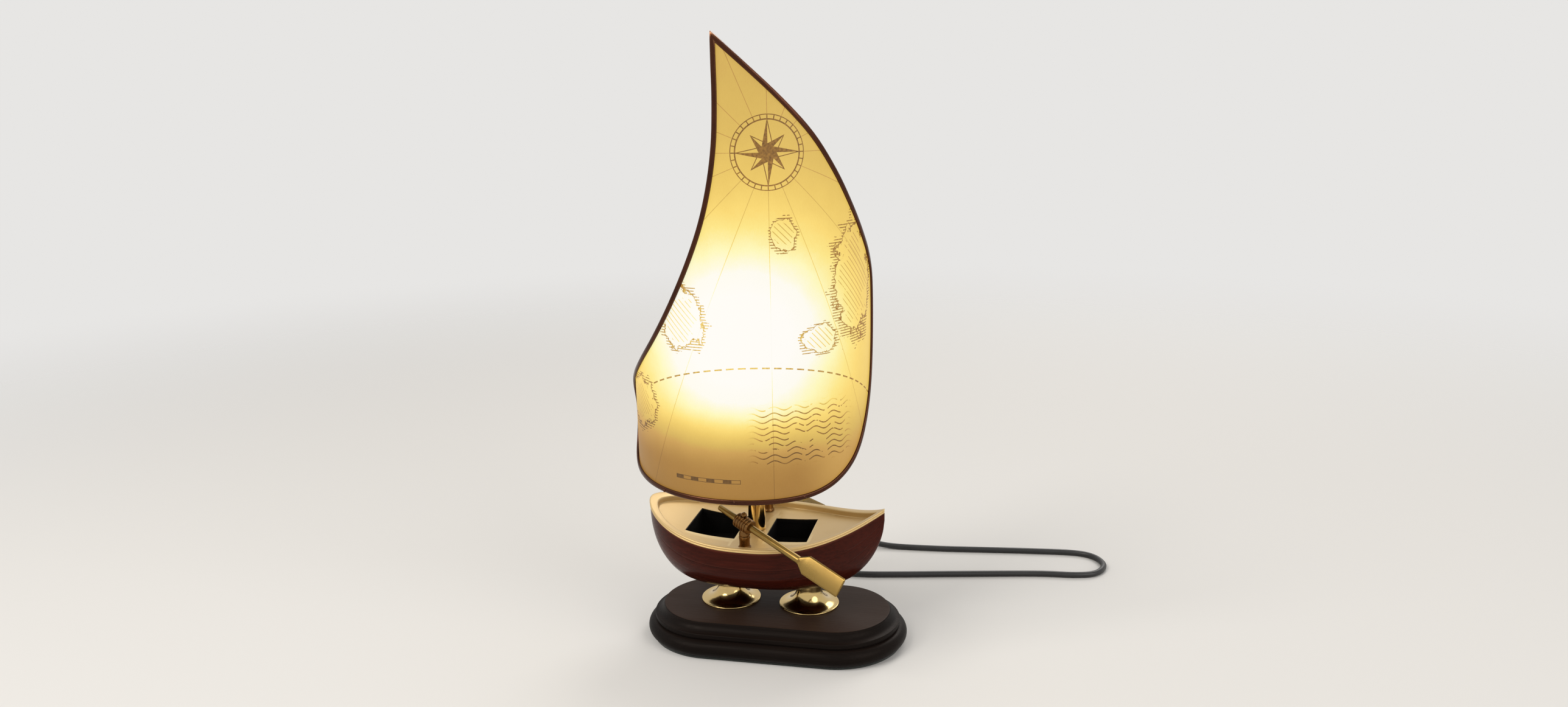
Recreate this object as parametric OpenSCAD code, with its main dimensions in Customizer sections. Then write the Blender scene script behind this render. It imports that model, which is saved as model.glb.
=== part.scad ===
// Sailing-boat table lamp. Millimetres, +Z up, +X to the bow on the right, -Y to the front.
// The origin is the centre of the underside.

/* [Plinth] */
// Length of the plinth
plinth_len = 200; // [180:1:240]
// Width of the plinth
plinth_w = 108; // [96:1:130]
// Height of the plinth's top face
plinth_h = 25; // [24:0.5:34]
// How far the top face lies inside the widest bead
top_inset = 12.5; // [10:0.5:16]
// How far the lip above the bead lies inside it
lip_inset = 5.4; // [4:0.2:8]
// Height of the big bead
bead_h = 12.4; // [10:0.2:13]
// Thickness of the felt pad
felt_t = 1.5; // [1:0.1:3]
// Wall left around the pocket underneath
pocket_wall = 22; // [18:1:28]
// Height of the pocket's ceiling
pocket_top = 15; // [14:0.5:19]

/* [Pillars] */
// Distance between the two pillars
pillar_gap = 61.5; // [52:0.5:70]
// Middle of the two pillars along the boat
pillar_x = -6; // [-10:0.5:10]
// Distance of the boat's centre line behind the plinth's
boat_y = 5; // [-8:0.5:10]
// Height of a pillar
pillar_h = 17.5; // [14:0.5:20]
// Radius of a pillar's foot
foot_r = 22.8; // [20:0.2:24]
// Thickness of the foot's rim
foot_rim = 1.2; // [0.8:0.1:3]
// Radius of a pillar's neck
neck_r = 9.5; // [8.5:0.1:12]
// Outer diameter of the threaded tubes
thread_d = 10; // [9:0.5:12]
// Bore of the threaded tubes
thread_bore = 7; // [5:0.5:7.5]
// Height of a hexagon nut
nut_h = 6; // [4:0.5:7]
// Width of a nut across its flats
nut_af = 14; // [13:0.5:17]
// Thickness of a washer
washer_t = 1.5; // [1:0.1:2]

/* [Hull] */
// Length of the boat at its rail
hull_len = 180; // [160:1:210]
// Beam of the boat at its rail
hull_beam = 104; // [96:1:112]
// Middle of the boat along the plinth
hull_x = -8; // [-14:0.5:4]
// Height of the rail above the keel, amidships
hull_depth = 44.5; // [42:0.5:54]
// Rise of the rail at the ends
sheer = 17; // [8:0.5:22]
// Rise of the keel at the ends
keel_rise = 45; // [38:1:48]
// Thickness of the hull's wall
wall = 3; // [2.4:0.1:4]
// Number of planks on each side
planks = 6; // [4:1:8]
// Step from one plank to the next
lap = 0.9; // [0.4:0.1:1.2]
// Height of the rail
rail_h = 3; // [2:0.1:5]
// Width by which the rail passes the wall outside
rail_out = 0.6; // [0.2:0.1:1.5]
// Width by which the rail passes the wall inside
rail_in = 1.4; // [0.5:0.1:2.5]

/* [Deck] */
// Depth of the deck below the rail
deck_drop = 4.5; // [3.5:0.1:8]
// Thickness of the deck
deck_t = 2.5; // [1.5:0.1:3.5]
// Length of the left well
well_left_len = 38; // [30:0.5:40]
// Length of the right well
well_right_len = 33; // [28:0.5:40]
// Width of both wells
well_w = 47; // [40:0.5:48]
// Width of the thwart between the wells
thwart_w = 22; // [22:0.5:30]
// Depth of a well's tray
tray_depth = 14; // [10:0.5:15]
// Wall of a well's tray
tray_wall = 1.2; // [0.8:0.1:2]

/* [Stem and lampholder] */
// Place of the stem along the boat
stem_x = -15; // [-16:0.5:-13]
// Outer diameter of the stem's sleeve
stem_d = 13; // [12.5:0.5:16]
// Radius of the lampholder
holder_r = 20; // [19:0.5:23]
// Height of the lampholder's cap
holder_cap_h = 22; // [20:0.5:28]
// Height of the lampholder's shell
holder_shell_h = 30; // [28:0.5:36]
// Wall of the lampholder
holder_wall = 2; // [1.5:0.1:2.5]
// Diameter of the bulb's screw cap
bulb_cap_d = 26.6; // [26:0.1:27]
// Height of the bulb's screw cap
bulb_cap_h = 24; // [22:0.5:25]
// Radius of the bulb's globe
globe_r = 28; // [22:0.5:34]
// Height of the globe's centre above the screw cap
globe_up = 45; // [36:0.5:52]
// Wall of the bulb's glass
glass_wall = 1.2; // [0.8:0.1:1.6]

/* [Sail] */
// Radius to which the sail is bent
sail_r = 86; // [80:0.5:96]
// Height of the sail's foot above the floor
sail_foot = 136; // [128:0.5:150]
// Height of the sail from foot to peak
sail_h = 307; // [280:1:330]
// Thickness of the sail
sail_t = 0.8; // [0.5:0.1:1]
// Width of the edge trim over the sail's face
trim_in = 2.4; // [2:0.1:4]
// Width of the edge trim past the sail's edge
trim_out = 1.8; // [1.2:0.1:3]
// Thickness of the edge trim
trim_t = 4.6; // [3.4:0.1:6]
// Thickness of the sail's carrier
carrier_t = 1.8; // [1.2:0.1:2.4]
// Width of the carrier's arms
arm_w = 8; // [6:0.5:10]

/* [Oars] */
// Distance of the rowlocks from the boat's centre line
rowlock_y = 39; // [36:0.5:40]
// Diameter of a rowlock's post
post_d = 8; // [7:0.5:10]
// Height of a rowlock's post above the deck
post_h = 9.5; // [9:0.5:14]
// Diameter of the rowlock's pin
pin_d = 3; // [2.5:0.1:4]
// Depth of the pin in the post
pin_depth = 7; // [5:0.5:8]
// Diameter of an oar's loom
loom_d = 5; // [4:0.1:6]
// Length of the oar inside its rowlock
oar_in = 26; // [20:0.5:28]
// Length of the oar from its rowlock to the blade
oar_out = 55; // [52:0.5:62]
// Length of the blade
blade_len = 39.5; // [32:0.5:44]
// Width of the blade
blade_w = 14; // [10:0.5:16]
// Thickness of the blade
blade_t = 2; // [1.5:0.1:3]
// Angle by which a blade leans in over its oar
blade_feather = 28; // [0:1:35]
// Angle of the near oar aft of square, seen from above
near_sweep = 60; // [50:1:62]
// Angle by which the near oar dips
near_dip = 15; // [12:0.5:16]
// Angle of the far oar aft of square, seen from above
far_sweep = 20; // [10:1:30]
// Angle by which the far oar dips
far_dip = 30; // [16:0.5:30]
// Diameter of the collar that holds the oar
collar_d = 11; // [10:0.5:12]
// Length of that collar
collar_len = 18; // [14:0.5:20]

/* [Lead, switch and plug] */
// Diameter of the mains lead
cord_d = 5; // [4.5:0.1:5.4]
// Length of the strain relief at the plinth
relief_len = 25; // [20:1:40]
// Number of turns in one layer of the coil
coil_turns = 3; // [1.5:0.5:3]
// Radius of the coil's outer turn
coil_r = 38.6; // [38:0.2:42]
// Length of the switch on the lead
switch_len = 60; // [54:1:70]
// Width of the switch
switch_w = 26; // [24:0.5:30]
// Height of the switch
switch_h = 18; // [17:0.5:20]
// Wall of the switch
switch_wall = 1.6; // [1.2:0.1:2]
// Angle of the rocker from level
rocker_tilt = 8; // [6:0.5:9]
// Length of the plug's body
plug_len = 34; // [30:1:40]
// Width of the plug's body
plug_w = 26; // [24:0.5:30]
// Thickness of the plug's body
plug_t = 16; // [15.6:0.2:17]
// Distance between the plug's pins
pin_gap = 18.6; // [17.5:0.1:19.5]

/* [Hidden] */
$fn = 64;

// Clearances
run_gap = 0.05;
seat_gap = 0.3;
hole_gap = 0.2;
bore_gap = 0.1;
eps = 0.01;

// Plinth
plinth_r = plinth_w / 2;
plinth_s = (plinth_len - plinth_w) / 2;
bead_r = bead_h / 2;
bead_z = felt_t + bead_r;
groove = 1.2;
lip_h = 3.4;
groove_top = felt_t + bead_h + groove;
lip_r = plinth_r - lip_inset;
top_r = plinth_r - top_inset;
lip_top = groove_top + lip_h;
cove_r = lip_r - top_r;
felt_inset = 4;

// Tubes, nuts and washers
nut_bore = thread_d + 2 * run_gap;
clear_bore = thread_d + 2 * hole_gap;
washer_d = nut_af + 6;
tube_past_nut = 1;
pillar_xs = [pillar_x - pillar_gap / 2, pillar_x + pillar_gap / 2];
seat_z = plinth_h + pillar_h;
boss_r = neck_r + 2;
boss_top = seat_z + wall + 2.5;
tie_low = pocket_top - washer_t - nut_h - tube_past_nut;
tie_high = boss_top + washer_t + nut_h + tube_past_nut;

// Hull lines
keel_sink = 0.5;
keel_z = seat_z + keel_sink;
rail_z = keel_z + hull_depth;
stern_n = 2.5;
stern_m = 0.6;
bow_n = 2;
bow_m = 1.15;
sheer_n = 2.8;
keel_n = 5.5;
section_e = 2.3;
tip_half = 1.2;
lap_end = 0.1;
stations = 28;
inner_steps = 6;
end_extra = 1.5;
end_wall = wall + end_extra;
deck_z = rail_z - deck_drop;
deck_low = deck_z - deck_t;
deck_gap = 0.6;

// Wells, either side of the thwart that carries the stem
thwart_x = stem_x - 1;
well_left_x = thwart_x - thwart_w / 2 - well_left_len;
well_right_x = thwart_x + thwart_w / 2;
tray_z = deck_low - tray_depth;
thwart_room = thwart_w / 2 - abs(stem_x - thwart_x) - tray_wall;
stem_washer_d = 2 * (thwart_room - seat_gap);

// Stem and lampholder heights
carrier_z = sail_foot + 0.6;
sleeve_top = carrier_z - bore_gap;
deck_foot = deck_z + max(sheer_at(stem_x - stem_d), sheer_at(stem_x + stem_d)) + run_gap;
holder_z = carrier_z + carrier_t + bore_gap;
stem_low = deck_low - washer_t - nut_h - tube_past_nut;
tube_in_cap = 10;
stem_high = holder_z + tube_in_cap;
cap_floor = 4;
cap_rim_h = 6;
cap_foot_r = stem_d / 2 + 4;
shell_z = holder_z + holder_cap_h;
insert_h = 12;
insert_z = shell_z - 8;
insert_top = insert_z + insert_h;
insert_r = holder_r - holder_wall - seat_gap;
contact_t = 2;
tip_h = 2;
tip_r = 4.5;
tip_z = insert_top + contact_t + seat_gap;
cap_z = tip_z + tip_h;
thread_wall = 0.8;
thread_in_r = bulb_cap_d / 2 + seat_gap;
thread_short = 2;
thread_h = shell_z + holder_shell_h - thread_short - insert_top;
bulb_neck_r = bulb_cap_d / 2 - 0.3;
glass_z = cap_z + bulb_cap_h;
globe_z = glass_z + globe_up;

// Sail outline as angle round the stem and share of the sail's height, foot to peak
luff = [
    [12, 0], [2, 0.0005], [-8, 0.001], [-18, 0.002], [-28, 0.0035], [-38, 0.006], [-48, 0.01],
    [-58, 0.0165], [-67, 0.027], [-75, 0.046], [-80.5, 0.075], [-83, 0.115], [-81, 0.165],
    [-73, 0.212], [-62, 0.25], [-50, 0.295], [-38, 0.352], [-27, 0.424], [-17, 0.511],
    [-9, 0.603], [-4, 0.69], [-1, 0.78], [0, 0.87], [0, 0.95], [0, 1]
];
leech = [
    [12, 0], [20, 0.0005], [28, 0.0015], [36, 0.004], [43, 0.009], [50, 0.018], [56, 0.03],
    [62, 0.046], [68, 0.068], [74, 0.1], [80, 0.145], [85, 0.19], [89, 0.235], [92, 0.285],
    [94, 0.34], [94, 0.4], [91, 0.465], [84, 0.52], [75, 0.577], [65, 0.644], [54, 0.722],
    [42, 0.8], [28, 0.872], [13, 0.942], [0, 1]
];
edge_steps = 2;
sail_columns = 24;
slot_gap = 0.5;
miter_max = 2.2;
arm_angles = [-33, 4, 36];
carrier_ring_r = stem_d / 2 + 3.5;

// Oars: the pin stands in the post, and the collar holds the loom above it
post_top = deck_foot + post_h;
collar_rise = 3.7;
collar_z = post_top + collar_d / 2 + collar_rise;
saddle_h = collar_z - post_top - bore_gap;
collar_ridges = 6;
ridge_depth = 0.6;
ball_r = 2.2;
grip_len = 8;
loom_in_blade = 4;
grip_d = loom_d + 1;

// Lead: the route starts at the tip of the strain relief, and its points are laid from there
gland_x = -20;
gland_z = bead_z - 0.4;
flange_t = 2;
gland_short = 2;
flange_r = 5.4;
gland_neck_d = 8;
relief_d = 9;
relief_tip_d = cord_d + 1.4;
cord_r = cord_d / 2;
cord_from = [gland_x, plinth_r + flange_t + relief_len, 0];
lead_d = 3;
lead_sides = 8;
cord_sides = 10;
coil_sides = 6;
rings_per_turn = 24;
coil_step = cord_d + 0.6;
coil_mid = [-85, 109];
coil_low = cord_r;
coil_high = coil_low + coil_step;
switch_mid = [15, 99];
switch_split = 7;
switch_end = 12;
switch_round = 5;
plug_tip = -45;
plug_z = plug_t / 2;
plug_round = 6;
coil_front = coil_mid.y - coil_r;
coil_back = coil_mid.y + coil_r;
face_right = switch_mid.x + switch_len / 2;
face_left = switch_mid.x - switch_len / 2;

run_points = [
    [0, 0, gland_z], [0, 6, gland_z], [3, 20, 4.8], [14, 31, 3], [30, 34, 2.5], [69, 34, 2.5],
    [102, 39, 2.5], [143, 47, 2.5], [214, 60, 2.5], [248, 63, 2.5], [265, 70, 2.5],
    [272, 87, 2.5], [265, 104, 2.5], [248, 111, 2.5], [210, 109, 2.5], [170, 105, 2.5],
    [130, 101, 2.5], [90, 99, 2.8], [70, 99, 5], [face_right + 6, 99, 7], [face_right, 99, 7]
];
tail_points = [
    [face_left, 99, 7], [face_left - 7.6, 99, 7], [face_left - 14.6, 97.6, 6.2],
    [face_left - 22, 93.9, 4.8], [face_left - 28, 88.4, 3.4], [face_left - 34.6, 80.6, 2.6],
    [face_left - 42.3, 74.6, 2.5], [face_left - 50, 71.5, 2.5],
    [coil_mid.x + cord_d + 7, coil_front, coil_low], [coil_mid.x + cord_d, coil_front, coil_low]
];
end_points = [
    [coil_mid.x + cord_d, coil_back, coil_high], [coil_mid.x + cord_d + 6, coil_back, coil_high],
    [plug_tip - 16, coil_back, plug_z], [plug_tip - 6, coil_back, plug_z],
    [plug_tip, coil_back, plug_z]
];

// Curves
function unit(v) = v / norm(v);
function knot(a, b, c, d, t) =
    b
    + (c - a) * t / 2
    + (2 * a - 5 * b + 4 * c - d) * t * t / 2
    + (3 * b - a - 3 * c + d) * t * t * t / 2;
function curve(p, n) = concat(
    [
        for (i = [0:len(p) - 2])
            for (k = [0:n - 1])
                knot(p[max(i - 1, 0)], p[i], p[i + 1], p[min(i + 2, len(p) - 1)], k / n)
    ],
    [p[len(p) - 1]]
);
function tangents(p) = [
    for (i = [0:len(p) - 1]) unit(p[min(i + 1, len(p) - 1)] - p[max(i - 1, 0)])
];
function across(t) = unit(cross(t, abs(t.z) < 0.9 ? [0, 0, 1] : [1, 0, 0]));
function normals(t) = [
    for (i = 0, u = across(t[0]); i < len(t);
         i = i + 1, u = i < len(t) ? unit(u - (u * t[i]) * t[i]) : u) u
];
function head_of(p) = unit(p[1] - p[0]);
function tail_of(p) = unit(p[len(p) - 1] - p[len(p) - 2]);
function run_length(p) = len(p) < 2 ? 0 : [
    for (i = 1, s = norm(p[1] - p[0]); i < len(p);
         i = i + 1, s = i < len(p) ? s + norm(p[i] - p[i - 1]) : s) s
][len(p) - 2];

// Faces of a grid of rings, closed round each ring
function ring_faces(rings, sides, closed) = [
    for (i = [0:rings - (closed ? 1 : 2)])
        for (k = [0:sides - 1])
            let (
                j = (i + 1) % rings,
                n = (k + 1) % sides,
                a = i * sides + k,
                b = i * sides + n,
                c = j * sides + n,
                d = j * sides + k
            )
            each [[a, c, b], [a, d, c]]
];
function cap_faces(rings, sides) = [
    [for (k = [0:sides - 1]) k],
    [for (k = [sides - 1:-1:0]) (rings - 1) * sides + k]
];

// A round tube along a path, whose end faces are square to the two given directions
module tube(path, r, sides, first, last) {
    inner = tangents(path);
    t = [for (i = [0:len(path) - 1]) i == 0 ? first : i == len(path) - 1 ? last : inner[i]];
    n = normals(t);
    points = [
        for (i = [0:len(path) - 1])
            for (k = [0:sides - 1])
                let (a = 360 * (k + 0.5) / sides)
                path[i] + r * (cos(a) * n[i] + sin(a) * cross(t[i], n[i]))
    ];
    polyhedron(points, concat(ring_faces(len(path), sides, false), cap_faces(len(path), sides)));
}

// Hull lines: share along the boat to half beam, and place along the boat to heights
function station(i) = sin(90 * (2 * i / stations - 1));
function taper(t, n, m) = pow(max(1 - pow(t, n), 0), m);
function plan(t) = t < 0 ? taper(-t, stern_n, stern_m) : taper(t, bow_n, bow_m);
function half_beam(t, inset, tip) = tip + (hull_beam / 2 - inset - tip) * plan(t);
function along(t, inset) = hull_x + t * (hull_len / 2 - inset);
function share(x) = abs(x - hull_x) / (hull_len / 2);
function sheer_at(x) = sheer * pow(share(x), sheer_n);
function keel_at(x) = keel_z + keel_rise * pow(min(share(x), 1), keel_n);
function bilge(a) = [pow(sin(a), 2 / section_e), 1 - pow(cos(a), 2 / section_e)];

// Half section from keel to rail: angle and step out, which fades toward the boat's ends
function plank_edges() = concat(
    [[0, 0]],
    [
        for (k = [1:planks])
            each k < planks
                ? [[90 * k / planks, 0], [90 * k / planks, lap]]
                : [[90, 0]]
    ]
);
function smooth_edges() = [for (k = [0:inner_steps]) [90 * k / inner_steps, 0]];

// One full section, from the left rail by the keel to the right rail
function section(t, inset, end_inset, tip, lift, edges) =
    let (
        x = along(t, end_inset),
        low = keel_at(x) + lift,
        high = rail_z - rail_h - seat_gap + sheer_at(x),
        b = half_beam(t, inset, tip),
        half = [
            for (e = edges)
                let (
                    s = bilge(e[0]),
                    out = e[1] * max(plan(t), lap_end),
                    drop = e[1] * (plan(t) * cos(e[0]) - lap_end * (1 - plan(t)))
                )
                [b * s.x + out * sin(e[0]), low + (high - low) * s.y - drop]
        ],
        n = len(edges)
    )
    concat(
        [for (k = [n - 1:-1:1]) [x, boat_y - half[k].x, half[k].y]],
        [[x, boat_y, half[0].y]],
        [for (k = [1:n - 1]) [x, boat_y + half[k].x, half[k].y]]
    );

// Faces of an open bowl: a skin over the stations, and its two end strips
function skin_faces(rows, cols, base, flip) = [
    for (i = [0:rows - 2])
        for (k = [0:cols - 2])
            let (a = base + i * cols + k, b = a + 1, d = a + cols, c = d + 1)
            each flip ? [[a, b, c], [a, c, d]] : [[a, c, b], [a, d, c]]
];
function end_faces(row, cols, base, flip) = [
    for (k = [0:(cols - 3) / 2])
        let (
            a = base + row * cols + k,
            b = a + 1,
            d = base + row * cols + cols - 1 - k,
            c = d - 1
        )
        each b == c
            ? [flip ? [a, d, b] : [a, b, d]]
            : flip ? [[a, c, b], [a, d, c]] : [[a, b, c], [a, c, d]]
];
function rim_faces(rows, oc, ic, ib) = concat(
    [
        for (i = [0:rows - 2])
            let (
                a = i * oc,
                b = a + oc,
                c = ib + (i + 1) * ic,
                d = ib + i * ic,
                e = a + oc - 1,
                f = b + oc - 1,
                g = c + ic - 1,
                h = d + ic - 1
            )
            each [[a, d, c], [a, c, b], [e, g, h], [e, f, g]]
    ],
    [
        for (i = [0, rows - 1])
            let (a = i * oc, b = a + oc - 1, d = ib + i * ic, c = d + ic - 1)
            each i == 0 ? [[a, b, c], [a, c, d]] : [[a, c, b], [a, d, c]]
    ]
);

module hull_shell() {
    outer = [for (i = [0:stations]) section(station(i), 0, 0, tip_half, 0, plank_edges())];
    inner = [
        for (i = [0:stations]) section(station(i), wall, end_wall, tip_half / 2, wall, smooth_edges())
    ];
    oc = len(outer[0]);
    ic = len(inner[0]);
    rows = stations + 1;
    ib = rows * oc;
    polyhedron(
        concat([for (r = outer) each r], [for (r = inner) each r]),
        concat(
            skin_faces(rows, oc, 0, false),
            skin_faces(rows, ic, ib, true),
            end_faces(0, oc, 0, false),
            end_faces(rows - 1, oc, 0, true),
            end_faces(0, ic, ib, true),
            end_faces(rows - 1, ic, ib, false),
            rim_faces(rows, oc, ic, ib)
        )
    );
}

// A slab across the boat that follows the sheer; without a thickness it reaches down to floor_z
module sheer_slab(inset, top, thick, floor_z) {
    xs = [for (i = [0:stations]) along(station(i), inset + end_extra)];
    beams = [for (i = [0:stations]) half_beam(station(i), inset, tip_half / 2)];
    upper = [for (x = xs) [x, top + sheer_at(x)]];
    lower = thick > 0
        ? [for (i = [stations:-1:0]) upper[i] - [0, thick]]
        : [[xs[stations], floor_z], [xs[0], floor_z]];
    intersection() {
        translate([0, boat_y, 0])
            rotate([90, 0, 0])
                linear_extrude(hull_beam, center = true)
                    polygon(concat(upper, lower));
        linear_extrude(rail_z + sheer)
            polygon(concat(
                [for (i = [0:stations]) [xs[i], boat_y - beams[i]]],
                [for (i = [stations:-1:0]) [xs[i], boat_y + beams[i]]]
            ));
    }
}

// Stadium-shaped plate
module stadium(r) {
    square([2 * plinth_s, 2 * r], center = true);
    for (s = [-1, 1])
        translate([s * plinth_s, 0])
            circle(r);
}

// Half of the plinth's section: radius from the spine, height
module plinth_half() {
    difference() {
        union() {
            translate([0, felt_t])
                square([top_r, plinth_h - felt_t]);
            translate([0, felt_t])
                square([plinth_r - bead_r, bead_h]);
            translate([plinth_r - bead_r, bead_z])
                circle(bead_r);
            translate([0, felt_t])
                square([plinth_r - bead_r - eps, groove_top - felt_t]);
            translate([0, groove_top])
                square([lip_r, lip_h]);
            translate([0, lip_top])
                square([lip_r, min(cove_r, plinth_h - lip_top - 0.6)]);
        }
        translate([lip_r, lip_top + cove_r])
            circle(cove_r);
    }
}

module plinth_solid() {
    rotate([90, 0, 90])
        linear_extrude(2 * plinth_s, center = true) {
            plinth_half();
            mirror([1, 0])
                plinth_half();
        }
    for (s = [0, 180])
        rotate(s)
            translate([plinth_s, 0, 0])
                rotate(-90)
                    rotate_extrude(angle = 180)
                        plinth_half();
}

module at_pillars() {
    for (x = pillar_xs)
        translate([x, boat_y, 0])
            children();
}

module bored(d, h, bore) {
    difference() {
        cylinder(d = d, h = h);
        translate([0, 0, -1])
            cylinder(d = bore, h = h + 2);
    }
}

module nut() {
    difference() {
        cylinder(d = nut_af / cos(30), h = nut_h, $fn = 6);
        translate([0, 0, -1])
            cylinder(d = nut_bore, h = nut_h + 2);
    }
}

module washer(d) {
    bored(d, washer_t, clear_bore);
}

// Plinth group
module felt_pad() {
    color("darkolivegreen")
        linear_extrude(felt_t)
            stadium(plinth_r - felt_inset);
}

module plinth() {
    color([0.17, 0.12, 0.10])
        difference() {
            plinth_solid();
            translate([0, 0, felt_t - 1])
                linear_extrude(pocket_top - felt_t + 1)
                    stadium(plinth_r - pocket_wall);
            at_pillars()
                cylinder(d = clear_bore, h = plinth_h + 1);
            translate([gland_x, plinth_r - pocket_wall - 5, gland_z])
                rotate([-90, 0, 0])
                    cylinder(d = gland_neck_d + 2 * bore_gap, h = pocket_wall + 10);
        }
}

module pillar(x) {
    flare = foot_r - foot_rim - neck_r;
    color([0.80, 0.62, 0.28])
        translate([x, boat_y, plinth_h])
            rotate_extrude()
                difference() {
                    union() {
                        translate([clear_bore / 2, 0])
                            square([foot_r - clear_bore / 2, foot_rim]);
                        translate([clear_bore / 2, 0])
                            square([neck_r + flare - clear_bore / 2, min(pillar_h, foot_rim + flare)]);
                        translate([clear_bore / 2, 0])
                            square([neck_r - clear_bore / 2, pillar_h]);
                    }
                    translate([neck_r + flare, foot_rim + flare])
                        circle(flare);
                }
}

module pillar_left() {
    pillar(pillar_xs[0]);
}

module pillar_right() {
    pillar(pillar_xs[1]);
}

module tie_tube(x) {
    color("goldenrod")
        translate([x, boat_y, tie_low])
            bored(thread_d, tie_high - tie_low, thread_bore);
}

module tie_tube_left() {
    tie_tube(pillar_xs[0]);
}

module tie_tube_right() {
    tie_tube(pillar_xs[1]);
}

module tie_nuts() {
    color("goldenrod")
        at_pillars() {
            translate([0, 0, tie_low + tube_past_nut])
                nut();
            translate([0, 0, boss_top + washer_t])
                nut();
        }
}

module tie_washers() {
    color("silver")
        at_pillars() {
            translate([0, 0, pocket_top - washer_t])
                washer(washer_d);
            translate([0, 0, boss_top])
                washer(washer_d);
        }
}

// Boat: two half hulls that meet on the centre plane, with bosses over the pillars
module hull_half(side) {
    color([0.30, 0.13, 0.10])
        difference() {
            intersection() {
                union() {
                    hull_shell();
                    at_pillars()
                        translate([0, 0, seat_z])
                            cylinder(r = boss_r, h = boss_top - seat_z);
                }
                translate([hull_x - hull_len, side > 0 ? boat_y : boat_y - hull_beam, 0])
                    cube([2 * hull_len, hull_beam, rail_z + 2 * sheer]);
            }
            at_pillars()
                cylinder(d = clear_bore, h = rail_z);
        }
}

module hull_near() {
    hull_half(-1);
}

module hull_far() {
    hull_half(1);
}

module gunwale_rail() {
    sides = [-1, 1];
    points = [
        for (i = [0:2 * stations - 1])
            let (
                s = i < stations ? sides[0] : sides[1],
                t = i < stations ? station(i) : station(2 * stations - i),
                x0 = along(t, -rail_out),
                x1 = along(t, end_wall + rail_in),
                y0 = boat_y + s * half_beam(t, -rail_out, abs(t) > 1 - eps ? 0 : tip_half),
                y1 = boat_y + s * half_beam(t, wall + rail_in, abs(t) > 1 - eps ? 0 : tip_half / 2)
            )
            each [
                [x0, y0, rail_z - rail_h + sheer_at(x0)], [x0, y0, rail_z + sheer_at(x0)],
                [x1, y1, rail_z + sheer_at(x1)], [x1, y1, rail_z - rail_h + sheer_at(x1)]
            ]
    ];
    color([0.84, 0.72, 0.47])
        polyhedron(points, ring_faces(2 * stations, 4, true));
}

module well_cut(x, len) {
    translate([x, boat_y - well_w / 2, tray_z - 5])
        cube([len, well_w, hull_depth + sheer]);
}

module deck() {
    color([0.84, 0.72, 0.47])
        difference() {
            sheer_slab(wall + deck_gap, deck_z, deck_t, 0);
            well_cut(well_left_x, well_left_len);
            well_cut(well_right_x, well_right_len);
            translate([stem_x, boat_y, keel_z])
                cylinder(d = clear_bore, h = hull_depth);
        }
}

// A black tray under each well's opening, hung from the deck's underside
module tray(x, len) {
    color([0.06, 0.06, 0.06])
        intersection() {
            difference() {
                translate([x - tray_wall, boat_y - well_w / 2 - tray_wall, tray_z])
                    cube([len + 2 * tray_wall, well_w + 2 * tray_wall, hull_depth]);
                translate([x, boat_y - well_w / 2, tray_z + tray_wall])
                    cube([len, well_w, hull_depth]);
            }
            sheer_slab(wall + deck_gap, deck_low - bore_gap, 0, keel_z);
        }
}

module well_tray_left() {
    tray(well_left_x, well_left_len);
}

module well_tray_right() {
    tray(well_right_x, well_right_len);
}

// Stem
module at_stem(z) {
    translate([stem_x, boat_y, z])
        children();
}

module stem_tube() {
    color("goldenrod")
        at_stem(stem_low)
            bored(thread_d, stem_high - stem_low, thread_bore);
}

module stem_sleeve() {
    color([0.80, 0.62, 0.28])
        at_stem(deck_foot)
            bored(stem_d, sleeve_top - deck_foot, nut_bore);
}

module stem_nut() {
    color("goldenrod")
        at_stem(deck_low - washer_t - nut_h)
            rotate(30)
                nut();
}

module stem_washer() {
    color("silver")
        at_stem(deck_low - washer_t)
            washer(stem_washer_d);
}

// Lampholder
module holder_cap() {
    color([0.10, 0.10, 0.10])
        at_stem(holder_z)
            difference() {
                union() {
                    cylinder(r1 = cap_foot_r, r2 = holder_r, h = holder_cap_h - cap_rim_h);
                    translate([0, 0, holder_cap_h - cap_rim_h])
                        cylinder(r = holder_r, h = cap_rim_h);
                }
                translate([0, 0, cap_floor])
                    cylinder(r = cap_foot_r - holder_wall, h = holder_cap_h);
                translate([0, 0, insert_z - holder_z])
                    cylinder(r = holder_r - holder_wall, h = holder_cap_h);
                translate([0, 0, -1])
                    cylinder(d = nut_bore, h = holder_cap_h);
            }
}

module holder_shell() {
    color([0.10, 0.10, 0.10])
        at_stem(shell_z)
            bored(2 * holder_r, holder_shell_h, 2 * (holder_r - holder_wall));
}

module holder_insert() {
    color([0.93, 0.92, 0.88])
        at_stem(insert_z)
            cylinder(r = insert_r, h = insert_h);
}

module holder_thread() {
    color("goldenrod")
        at_stem(insert_top)
            bored(2 * (thread_in_r + thread_wall), thread_h, 2 * thread_in_r);
}

module holder_contact() {
    color("goldenrod")
        at_stem(insert_top)
            cylinder(r = tip_r + 1, h = contact_t);
}

// Bulb
module bulb_cap() {
    color("silver")
        at_stem(cap_z)
            cylinder(d = bulb_cap_d, h = bulb_cap_h);
}

module bulb_tip() {
    color("dimgray")
        at_stem(tip_z)
            cylinder(r1 = tip_r - 1, r2 = tip_r, h = tip_h);
}

module globe(inset) {
    intersection() {
        union() {
            translate([0, globe_up])
                circle(globe_r - inset, $fn = 128);
            translate([0, inset > 0 ? -1 : 0])
                square([bulb_neck_r - inset, globe_up]);
        }
        translate([0, -2])
            square([globe_r, globe_up + globe_r + 2]);
    }
}

module bulb_glass() {
    color([1, 0.97, 0.88])
        at_stem(glass_z)
            rotate_extrude()
                difference() {
                    globe(0);
                    globe(glass_wall);
                }
}

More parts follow.
